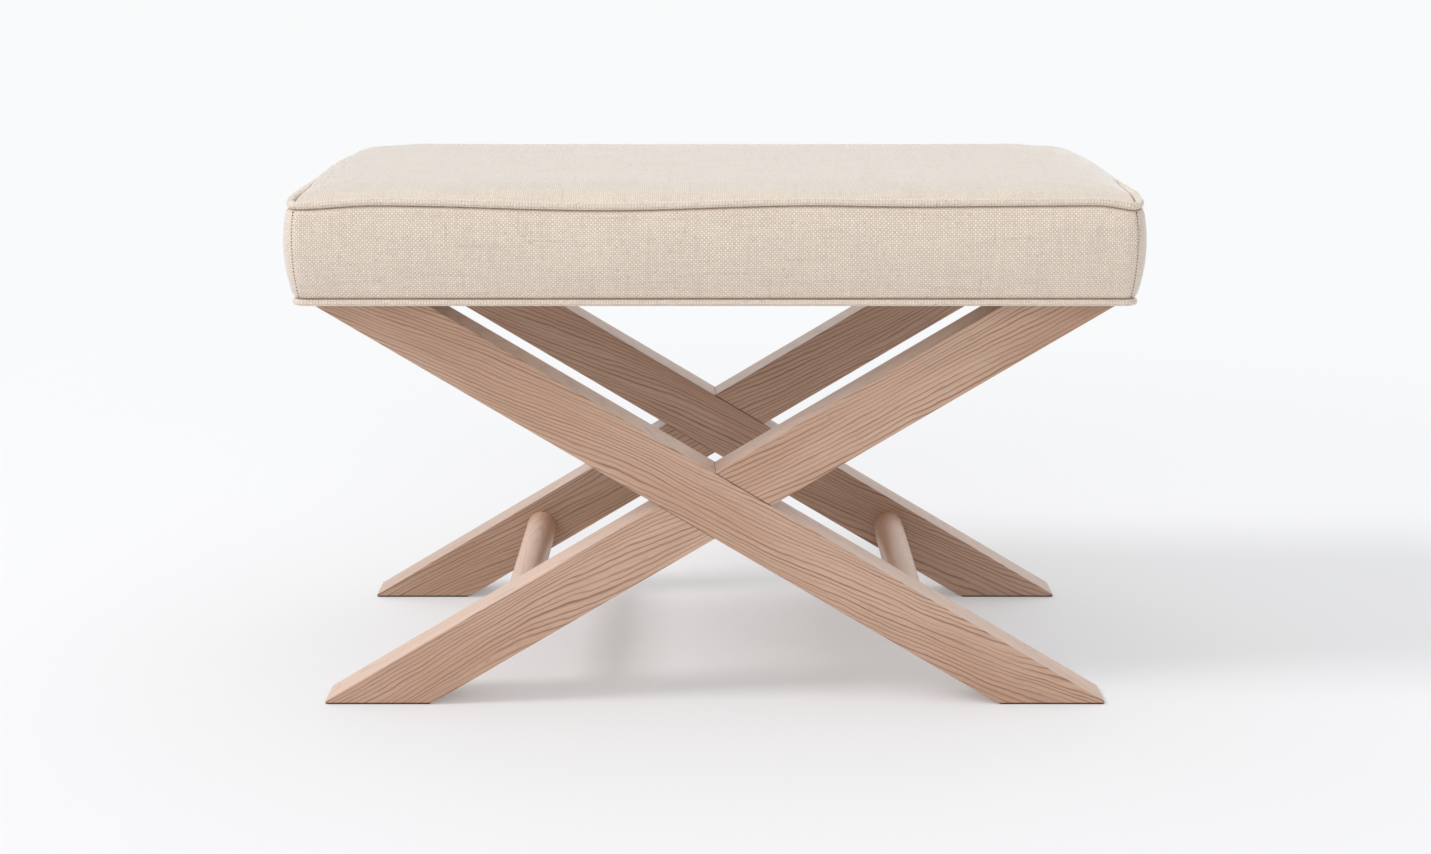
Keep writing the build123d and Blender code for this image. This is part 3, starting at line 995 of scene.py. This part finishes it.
class FOOTSTOOL_OT_top_panel(Operator):
    """Model the crowned top panel of the cover"""

    bl_idname = "footstool.top_panel"
    bl_label = "Top panel"

    spacing = 4.2 * MM
    edge_steps = (0.0, 0.4, 0.9, 1.4, 2.0, 2.7, 3.5, 4.5, 6.0, 8.0, 10.5)
    tuck = 2.4 * MM
    seam_allowance = 12.0 * MM
    swell_start = 1.2 * MM
    swell_end = 4.2 * MM
    swell_fade = 35.0 * MM
    # Painted shade in the fabric's turn at its seam fades over this distance
    seam_shade = 0.8 * MM

    def lines(self, half):
        """Places of the grid lines from one edge to the other, closer together at the edges."""
        edge = np.array(self.edge_steps) * MM
        inner = half - edge[-1] - self.spacing
        count = round(2 * inner / self.spacing) + 1
        return np.concatenate([edge - half, np.linspace(-inner, inner, count), (half - edge)[::-1]])

    def arcs(self, points, axis):
        """Lengths along the grid's lines, measured over the surface from the middle line."""
        steps = np.linalg.norm(np.diff(points, axis=axis), axis=-1)
        lengths = np.insert(np.cumsum(steps, axis=axis), 0, 0.0, axis=axis)
        middle = points.shape[axis] // 2
        return lengths - np.take(lengths, [middle], axis=axis)

    def surface(self, form, half_x, half_y):
        """Points of the panel before it settles, and their distance from its edge in plan."""
        corner = form.corner - form.crown_set_back
        x, y = np.meshgrid(self.lines(half_x), self.lines(half_y))

        # Inside the corner squares, the square grid is eased on to a quarter disc
        s = np.maximum(np.abs(x) - (half_x - corner), 0) / corner
        t = np.maximum(np.abs(y) - (half_y - corner), 0) / corner
        round_s = s * np.sqrt(1 - t**2 / 2)
        round_t = t * np.sqrt(1 - s**2 / 2)
        flat_x = np.sign(x) * (np.minimum(np.abs(x), half_x - corner) + corner * round_s)
        flat_y = np.sign(y) * (np.minimum(np.abs(y), half_y - corner) + corner * round_t)
        inside = np.minimum(half_x - np.abs(flat_x), half_y - np.abs(flat_y))
        inside = np.where((s > 0) & (t > 0), corner * (1 - np.hypot(round_s, round_t)), inside)

        roll = np.exp(-inside / form.cover.seam_roll)
        height = form.crown_height(flat_x, flat_y) - self.tuck * roll
        inside_x = half_x - np.abs(flat_x)
        rise = np.clip((inside_x - self.swell_start) / (self.swell_end - self.swell_start), 0, 1)
        fade = np.exp(-np.maximum(inside_x - self.swell_end, 0) / self.swell_fade)
        swell = form.swell(flat_x, flat_y) * rise**2 * (3 - 2 * rise) * fade
        return np.dstack([flat_x + np.sign(flat_x) * swell, flat_y, height]), inside

    def execute(self, context):
        cover = context.scene.footstool_cover
        form = SeatForm(cover)
        half_x = form.half_width - form.crown_set_back
        half_y = form.half_depth - form.crown_set_back
        points, inside = self.surface(form, half_x, half_y)
        points = relaxed(points, inside > 0)
        mesh = grid_mesh(
            "linen_top",
            points,
            weave=np.dstack([self.arcs(points, axis=1), self.arcs(points, axis=0)]),
            # Painted shade in the turn at the seam
            seam=np.exp(-inside / self.seam_shade),
        )
        panel = add_object(mesh)
        thicken(panel, cover.fabric_thickness)
        dress(panel, cover_linen(cover), "upholstery", "top_panel")
        return {"FINISHED"}


def boxing_profile(form):
    """Set backs and heights up the boxing's section: hem, tuck, then the bulged side."""
    cover = form.cover
    rows = 46
    fold = 1.6 * MM
    fold_set_back = 0.3 * MM
    fold_rise = 0.4 * MM
    tuck_drop = 1.2 * MM
    swing = np.sin(np.linspace(-QUARTER_TURN, QUARTER_TURN, rows))
    middle = (form.boxing_head + form.boxing_foot) / 2
    reach = (form.boxing_head - form.boxing_foot) / 2
    heights = middle + reach * swing
    head_roll = form.head_roll_depth * np.exp(-(form.boxing_head - heights) / cover.seam_roll)
    foot_roll = form.foot_roll_depth * np.exp(-(heights - form.boxing_foot) / cover.seam_roll)
    set_backs = form.boxing_set_back(heights) + head_roll + foot_roll
    tuck = form.tuck_set_back
    hem_level = form.hem_bottom
    lead_in = [
        (tuck + cover.hem_width, hem_level),
        (tuck + cover.hem_width / 2, hem_level),
        (tuck + fold, hem_level),
        (tuck + fold_set_back, hem_level + fold_rise),
        (tuck, hem_level + fold),
        (tuck, form.boxing_foot - tuck_drop),
    ]
    lead_set_backs, lead_heights = np.array(lead_in).T
    return np.concatenate([lead_set_backs, set_backs]), np.concatenate([lead_heights, heights])


class FOOTSTOOL_OT_boxing(Operator):
    """Model the four boxing panels and the seams between them"""

    bl_idname = "footstool.boxing"
    bl_label = "Boxing panels"

    seam_allowance = 12.0 * MM
    # Painted shade beside the piping seams and, fainter, down the corner seams
    seam_shade = 0.7 * MM
    corner_shade = 0.15
    corner_shade_width = 0.6 * MM

    def execute(self, context):
        cover = context.scene.footstool_cover
        form = SeatForm(cover)
        set_backs, heights = boxing_profile(form)
        share = np.clip((heights - form.boxing_foot) / (form.boxing_head - form.boxing_foot), 0, 1)
        profile = arc_lengths(np.column_stack([set_backs, heights]))
        from_seams = np.minimum(form.boxing_head - heights, heights - form.boxing_foot)
        for side, name in zip(form.sides, SIDES):
            from_corner = np.minimum(side.length - side.length[0], side.length[-1] - side.length)
            groove = np.exp(-((from_corner / form.corner_groove_width) ** 2))
            on_side = (share > 0)[:, None]
            set_back = set_backs[:, None] + form.corner_groove * groove * on_side
            height = heights[:, None] + form.seam_rise(side.quarter, side.length) * share[:, None]
            plan = form.plan(side, set_back)
            u, v = np.meshgrid(side.length, profile)
            # Painted shade along the piping seams and down the corner seams
            edge_shade = np.exp(-np.abs(from_seams) / self.seam_shade)[:, None]
            corner_shade = self.corner_shade * np.exp(-((from_corner / self.corner_shade_width) ** 2))
            points = relaxed(np.dstack([plan, height]), np.broadcast_to(on_side, height.shape))
            mesh = grid_mesh(
                f"linen_{name}_boxing",
                points,
                weave=np.dstack([u, v]),
                seam=np.maximum(edge_shade, corner_shade),
            )
            panel = add_object(mesh)
            thicken(panel, cover.fabric_thickness)
            dress(panel, cover_linen(cover), "upholstery", f"{name}_boxing")
        return {"FINISHED"}


class FOOTSTOOL_OT_piping(Operator):
    """Model the two rings of piping and the cords inside them"""

    bl_idname = "footstool.piping"
    bl_label = "Piping"

    segments = 20
    cord_segments = 10
    cord_clearance = 0.1 * MM

    def tube(self, form, centres, levels, radius, segments):
        """Points round a tube that follows the seat's outline."""
        outward = form.around(form.outward)
        angles = np.linspace(0, WHOLE_TURN, segments, endpoint=False)
        reach = radius * np.cos(angles)[None, :, None] * outward[:, None, :]
        height = levels[:, None] - radius * np.sin(angles)[None, :]
        return np.dstack([centres[:, None, :] + reach, height])

    def ring(self, form, name, welt, radius, segments, rise, bias):
        """Tube round the seat; bias turns its weave an eighth of a turn."""
        centres = form.around(lambda side: form.plan(side, welt.set_back))
        steps = np.linalg.norm(np.diff(centres, axis=0, append=centres[:1]), axis=1)
        along = np.concatenate([[0], np.cumsum(steps)])
        around = radius * np.linspace(0, WHOLE_TURN, segments + 1)
        v, u = np.meshgrid(around, along)
        if bias:
            u, v = (u + v) * sqrt(0.5), (v - u) * sqrt(0.5)
        return grid_mesh(
            name,
            self.tube(form, centres, welt.height + rise, radius, segments),
            weave=np.dstack([u, v]),
            ring_rows=True,
            ring_columns=True,
        )

    def execute(self, context):
        cover = context.scene.footstool_cover
        form = SeatForm(cover)
        rises = form.around(lambda side: form.seam_rise(side.quarter, side.length)[:, None])[:, 0]
        cotton = cotton_cord("cotton_cord")
        for place, welt, rise in (
            ("top", form.top_welt, rises),
            ("bottom", form.bottom_welt, np.zeros_like(rises)),
        ):
            piping = add_object(
                self.ring(form, f"piping_{place}", welt, welt.radius, self.segments, rise, True)
            )
            dress(piping, cover_linen(cover), "piping", f"{place}_welt")
            cord_radius = welt.radius - cover.fabric_thickness - self.cord_clearance
            cord = add_object(
                self.ring(form, f"filler_{place}", welt, cord_radius, self.cord_segments, rise, False)
            )
            dress(cord, cotton, "piping_cord", f"{place}_welt_cord")
        return {"FINISHED"}


class NodeSheet(NodeTree):
    """One geometry node tree with named inputs, which sets copies of a shape along lines."""

    tube_sides = 6
    seed = 4

    def __init__(self, name, inputs):
        super().__init__(bpy.data.node_groups.new(name, "GeometryNodeTree"))
        self.tree.is_modifier = True
        interface = self.tree.interface
        interface.new_socket("Geometry", in_out="INPUT", socket_type="NodeSocketGeometry")
        interface.new_socket("Geometry", in_out="OUTPUT", socket_type="NodeSocketGeometry")
        self.values = {}
        for label, value in inputs.items():
            socket = interface.new_socket(label, in_out="INPUT", socket_type="NodeSocketFloat")
            self.values[socket.identifier] = value
        self.given = self.tree.nodes.new("NodeGroupInput").outputs

    def tube(self, curve, radius, capped):
        """Slim tube along a curve."""
        section = self.add(
            "GeometryNodeCurvePrimitiveCircle", {"Resolution": self.tube_sides, "Radius": radius}
        )
        sockets = {"Curve": curve, "Profile Curve": section.outputs[0], "Fill Caps": capped}
        return self.add("GeometryNodeCurveToMesh", sockets).outputs[0]

    def repeat(self, spacing, shape, material, jitter):
        """Set copies of a shape along the lines that come in, each turned a little at random."""
        curve = self.add("GeometryNodeMeshToCurve", {0: self.given["Geometry"]}).outputs[0]
        points = self.add("GeometryNodeResampleCurve", {"Curve": curve, "Length": spacing}, mode="LENGTH")
        outward = self.add("GeometryNodeInputNamedAttribute", {"Name": "outward"}, data_type="FLOAT_VECTOR")
        tangent = self.add("GeometryNodeInputTangent").outputs[0]
        facing = self.add("FunctionNodeAlignRotationToVector", {"Vector": outward.outputs[0]}, axis="Z")
        lined = self.add(
            "FunctionNodeAlignRotationToVector",
            {"Rotation": facing.outputs[0], "Vector": tangent},
            axis="X",
            pivot_axis="Z",
        )
        spin = self.add(
            "FunctionNodeRandomValue",
            {0: (0.0, 0.0, -jitter), 1: (0.0, 0.0, jitter), "Seed": self.seed},
            data_type="FLOAT_VECTOR",
        )
        turned = self.add(
            "FunctionNodeRotateRotation",
            {"Rotation": lined.outputs[0], "Rotate By": spin.outputs[0]},
            rotation_space="LOCAL",
        )
        copies = self.add(
            "GeometryNodeInstanceOnPoints",
            {"Points": points.outputs[0], "Instance": shape, "Rotation": turned.outputs[0]},
        )
        real = self.add("GeometryNodeRealizeInstances", {0: copies.outputs[0]})
        painted = self.add("GeometryNodeSetMaterial", {0: real.outputs[0], "Material": material})
        output = self.tree.nodes.new("NodeGroupOutput")
        self.tree.links.new(painted.outputs[0], output.inputs[0])

    def grow(self, lines):
        """Run the tree on an object and keep the result as its plain mesh."""
        maker = lines.modifiers.new(self.tree.name, "NODES")
        maker.node_group = self.tree
        for identifier, value in self.values.items():
            maker[identifier] = value
        settle(lines)
        lines.data.shade_smooth()


def line_object(name, lines):
    """Edges along lines of points, each point with the direction that it faces."""
    mesh = bpy.data.meshes.new(name)
    points = np.concatenate([line for line, _ in lines])
    facing = np.concatenate([direction for _, direction in lines])
    edges = []
    start = 0
    for line, _ in lines:
        edges += [(start + step, start + step + 1) for step in range(len(line) - 1)]
        start += len(line)
    mesh.from_pydata(points.tolist(), edges, [])
    outward = mesh.attributes.new("outward", "FLOAT_VECTOR", "POINT")
    outward.data.foreach_set("vector", facing.ravel())
    return add_object(mesh)


class FOOTSTOOL_OT_stitches(Operator):
    """Set the stitches down the four corner seams"""

    bl_idname = "footstool.stitches"
    bl_label = "Corner stitches"

    spacing = 2.7 * MM
    length = 1.3 * MM
    thread_radius = 0.42 * MM
    arch_steps = 4
    clear_of_piping = 2.5 * MM
    line_points = 40
    jitter = 0.12

    def execute(self, context):
        form = SeatForm(context.scene.footstool_cover)
        lowest = form.boxing_foot + self.clear_of_piping
        highest = form.boxing_head - self.clear_of_piping
        heights = np.linspace(lowest, highest, self.line_points)
        share = (heights - form.boxing_foot) / (form.boxing_head - form.boxing_foot)
        set_back = form.boxing_set_back(heights) + form.corner_groove
        lines = []
        for side in form.sides:
            plan = form.plan(side, set_back[:, None])[:, 0]
            rise = form.seam_rise(side.quarter, side.length[:1])[0]
            facing = np.tile(np.append(form.outward(side)[0], 0.0), (len(heights), 1))
            lines.append((np.column_stack([plan, heights + rise * share]), facing))
        stitches = line_object("corner_stitches", lines)
        sheet = NodeSheet(
            "stitch_row", {"Spacing": self.spacing, "Length": self.length, "Thread": self.thread_radius}
        )
        given = sheet.given
        half = sheet.math("MULTIPLY", given["Length"], 0.5)
        back = sheet.math("MULTIPLY", given["Length"], -0.5)
        sink = sheet.math("MULTIPLY", given["Thread"], -1.0)
        arch = sheet.add(
            "GeometryNodeCurveQuadraticBezier",
            {
                "Resolution": self.arch_steps,
                "Start": sheet.joined(x=back, z=sink),
                "Middle": sheet.joined(z=given["Thread"]),
                "End": sheet.joined(x=half, z=sink),
            },
        )
        stitch = sheet.tube(arch.outputs[0], given["Thread"], True)
        thread = sewing_thread("brown_thread")
        sheet.repeat(given["Spacing"], stitch, thread, self.jitter)
        sheet.grow(stitches)
        dress(stitches, thread, "upholstery")
        return {"FINISHED"}


class FOOTSTOOL_OT_dust_cover(Operator):
    """Model the ecru cloth under the deck"""

    bl_idname = "footstool.dust_cover"
    bl_label = "Dust cover"

    spacing = 8.0 * MM
    line_clearance = 0.3
    sag = 2.2 * MM
    sag_power_across = 2
    sag_power_along = 0.6
    bolt_hole = 5.0 * MM
    bolt_head = 6.5 * MM

    def lines(self, half, bolt):
        """Places of the grid lines from one edge to the other, with a pair beside each bolt."""
        even = np.linspace(-half, half, round(2 * half / self.spacing) + 1)
        cuts = np.add.outer((-bolt, bolt), (-self.bolt_hole, self.bolt_hole)).ravel()
        away = np.min(np.abs(np.subtract.outer(even, cuts)), axis=1) > self.line_clearance * self.spacing
        return np.sort(np.concatenate([even[away], cuts]))

    def cut_holes(self, cloth, bolts):
        """Remove the faces where the bolts pass."""
        draft = bmesh.new()
        draft.from_mesh(cloth.data)
        cut = []
        for face in draft.faces:
            middle = face.calc_center_median()
            from_bolt = max(abs(abs(middle.x) - bolts[0]), abs(abs(middle.y) - bolts[1]))
            if from_bolt < self.bolt_hole:
                cut.append(face)
        bmesh.ops.delete(draft, geom=cut, context="FACES")
        draft.to_mesh(cloth.data)
        draft.free()

    def execute(self, context):
        low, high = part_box("dust_cover")
        leg_low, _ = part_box("rear_over_leg")
        _, bolt_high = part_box("leg_bolts")
        bolts = (bolt_high.x - self.bolt_head, bolt_high.y - self.bolt_head)
        x, y = np.meshgrid(self.lines(high.x, bolts[0]), self.lines(high.y, bolts[1]))
        across = np.cos(np.clip(y / leg_low.y, -1, 1) * QUARTER_TURN) ** self.sag_power_across
        along = np.cos(np.clip(x / high.x, -1, 1) * QUARTER_TURN) ** self.sag_power_along
        height = low.z - self.sag * across * along
        mesh = grid_mesh("ecru_cloth", np.dstack([x, y, height]), weave=np.dstack([x, y]))
        mesh.flip_normals()
        cloth = add_object(mesh)
        self.cut_holes(cloth, bolts)
        thicken(cloth, high.z - low.z)
        dress(cloth, dust_cloth("ecru_dust_cloth"), "dust_cloth", "dust_cover")
        return {"FINISHED"}


class FOOTSTOOL_OT_staples(Operator):
    """Set the staples round the dust cover, clear of the legs"""

    bl_idname = "footstool.staples"
    bl_label = "Staples"

    spacing = 38.0 * MM
    width = 10.0 * MM
    depth = 6.0 * MM
    wire_radius = 0.45 * MM
    margin = 6.0 * MM
    jitter = 0.1

    def execute(self, context):
        low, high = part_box("dust_cover")
        leg_low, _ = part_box("rear_over_leg")
        edge_x = high.x - self.margin
        edge_y = high.y - self.margin
        clear = leg_low.y - self.width
        runs = [
            ((-edge_x, -edge_y), (edge_x, -edge_y)),
            ((edge_x, -clear), (edge_x, clear)),
            ((edge_x, edge_y), (-edge_x, edge_y)),
            ((-edge_x, clear), (-edge_x, -clear)),
        ]
        level = low.z - self.wire_radius
        down = np.tile((0.0, 0.0, -1.0), (2, 1))
        lines = [(np.array([(*start, level), (*end, level)]), down) for start, end in runs]
        staples = line_object("staples", lines)
        sheet = NodeSheet(
            "staple_row",
            {"Spacing": self.spacing, "Width": self.width, "Depth": self.depth, "Wire": self.wire_radius},
        )
        given = sheet.given
        loop = sheet.add(
            "GeometryNodeCurvePrimitiveQuadrilateral",
            {"Width": given["Width"], "Height": given["Depth"]},
            mode="RECTANGLE",
        )
        sink = sheet.math("MULTIPLY", given["Depth"], -0.5)
        upright = sheet.add(
            "GeometryNodeTransform",
            {
                "Geometry": sheet.tube(loop.outputs[0], given["Wire"], False),
                "Translation": sheet.joined(z=sink),
                "Rotation": (QUARTER_TURN, 0.0, 0.0),
            },
        )
        steel = zinc("staple_wire")
        sheet.repeat(given["Spacing"], upright.outputs[0], steel, self.jitter)
        sheet.grow(staples)
        dress(staples, steel, "zinc_steel")
        return {"FINISHED"}


class FOOTSTOOL_OT_stage(Operator):
    """Set the floor, the lights and the camera"""

    bl_idname = "footstool.stage"
    bl_label = "Floor, lights and camera"

    floor_reach = 40.0
    lit_radius = 0.85
    bright_radius = 2.0
    key_place = (-11.7, -3.6, 10.2)
    key_size = 4.5
    fill_place = (-0.6, -10.0, 5.2)
    fill_size = 5.0
    aim_height = 0.25
    sky_colour = (0.98, 0.99, 1.0)
    horizon_power = 2.0
    sensor_width = 36.0

    def execute(self, context):
        stage = context.scene.footstool_stage
        self.lay_floor(stage)
        self.light(stage)
        self.stand_camera(context.scene, stage)
        context.scene.view_settings.view_transform = "Standard"
        return {"FINISHED"}

    def lay_floor(self, stage):
        """Pale floor that keeps the shadow near the stool and runs out to an even white."""
        ends = (-self.floor_reach, self.floor_reach)
        points = np.array([[(x, y, 0.0) for x in ends] for y in ends])
        floor = add_object(grid_mesh("studio_floor", points))
        paint = Surface("floor_paint", Roughness=0.9, Specular_IOR_Level=0.0)
        paint.put(paint.shader.inputs["Base Color"], stage.floor_colour)
        distance = paint.length(paint.place())
        far = paint.ramp(distance, self.lit_radius, self.bright_radius, stage.floor_glow, 1.0)
        path = paint.add("ShaderNodeLightPath").outputs
        seen = paint.math("MAXIMUM", path["Is Camera Ray"], path["Is Glossy Ray"])
        seen = paint.math("MAXIMUM", seen, path["Is Transmission Ray"])
        glow = paint.add("ShaderNodeEmission", {"Color": stage.backdrop_colour, "Strength": 1.0})
        mixer = paint.add("ShaderNodeMixShader", {0: paint.times(far, seen)})
        paint.tree.links.new(paint.shader.outputs[0], mixer.inputs[1])
        paint.tree.links.new(glow.outputs[0], mixer.inputs[2])
        output = paint.tree.nodes["Material Output"]
        paint.tree.links.new(mixer.outputs[0], output.inputs["Surface"])
        floor.data.materials.append(paint.material)

    def light(self, stage):
        """Sky that is brightest low behind the stool, a light high on the left and a soft one in front."""
        world = bpy.data.worlds.new("studio_sky")
        world.use_nodes = True
        sky = NodeTree(world.node_tree)
        _, y, z = sky.split(sky.add("ShaderNodeTexCoord").outputs["Generated"])
        up = sky.math("MAXIMUM", z, 0.0)
        low = sky.math("POWER", sky.math("SUBTRACT", 1.0, up), self.horizon_power)
        overhead = sky.math("MULTIPLY", up, stage.sky_level)
        low_behind = sky.math("MULTIPLY", sky.math("MAXIMUM", y, 0.0), low)
        behind = sky.math("MULTIPLY", low_behind, stage.backdrop_level)
        background = sky.tree.nodes["Background"]
        sky.put(background.inputs["Strength"], sky.math("ADD", overhead, behind))
        sky.put(background.inputs["Color"], self.sky_colour)
        bpy.context.scene.world = world
        self.lamp("key_light", self.key_place, self.key_size, stage.key_power)
        self.lamp("fill_light", self.fill_place, self.fill_size, stage.fill_power)

    def lamp(self, name, place, size, power):
        """Square soft light that looks at the stool's middle."""
        lamp = bpy.data.lights.new(name, "AREA")
        lamp.shape = "SQUARE"
        lamp.size = size
        lamp.energy = power
        holder = bpy.data.objects.new(name, lamp)
        holder.location = place
        aim = Vector((0.0, 0.0, self.aim_height)) - holder.location
        holder.rotation_euler = aim.to_track_quat("-Z", "Y").to_euler()
        bpy.context.scene.collection.objects.link(holder)

    def stand_camera(self, scene, stage):
        """Camera level with its horizon, looking along the Y axis and down."""
        camera = bpy.data.cameras.new("studio_camera")
        camera.sensor_fit = "HORIZONTAL"
        camera.sensor_width = self.sensor_width
        camera.lens = stage.camera_lens
        camera.clip_end = 2 * self.floor_reach
        holder = bpy.data.objects.new("studio_camera", camera)
        holder.location = stage.camera_place
        holder.rotation_euler = (QUARTER_TURN - stage.camera_dip, 0.0, 0.0)
        scene.collection.objects.link(holder)
        scene.camera = holder


class FOOTSTOOL_PT_panel(Panel):
    """Buttons and settings for the footstool"""

    bl_idname = "FOOTSTOOL_PT_panel"
    bl_label = "Footstool"
    bl_space_type = "VIEW_3D"
    bl_region_type = "UI"
    bl_category = "Footstool"

    def draw(self, context):
        layout = self.layout
        for operator in OPERATORS:
            layout.operator(operator.bl_idname)
        for settings in (
            context.scene.footstool_cover,
            context.scene.footstool_wood,
            context.scene.footstool_stage,
        ):
            box = layout.box()
            for setting in settings.__annotations__:
                box.prop(settings, setting)


OPERATORS = (
    FOOTSTOOL_OT_frame,
    FOOTSTOOL_OT_fittings,
    FOOTSTOOL_OT_padding,
    FOOTSTOOL_OT_top_panel,
    FOOTSTOOL_OT_boxing,
    FOOTSTOOL_OT_piping,
    FOOTSTOOL_OT_stitches,
    FOOTSTOOL_OT_dust_cover,
    FOOTSTOOL_OT_staples,
    FOOTSTOOL_OT_stage,
)
CLASSES = (FootstoolCover, FootstoolWood, FootstoolStage, *OPERATORS, FOOTSTOOL_PT_panel)


def register():
    for item in CLASSES:
        bpy.utils.register_class(item)
    bpy.types.Scene.footstool_cover = PointerProperty(type=FootstoolCover)
    bpy.types.Scene.footstool_wood = PointerProperty(type=FootstoolWood)
    bpy.types.Scene.footstool_stage = PointerProperty(type=FootstoolStage)


def unregister():
    del bpy.types.Scene.footstool_stage
    del bpy.types.Scene.footstool_wood
    del bpy.types.Scene.footstool_cover
    for item in reversed(CLASSES):
        bpy.utils.unregister_class(item)


def main():
    """Make every piece in order."""
    register()
    for operator in OPERATORS:
        group, name = operator.bl_idname.split(".")
        getattr(getattr(bpy.ops, group), name)()


if __name__ == "__main__":
    main()
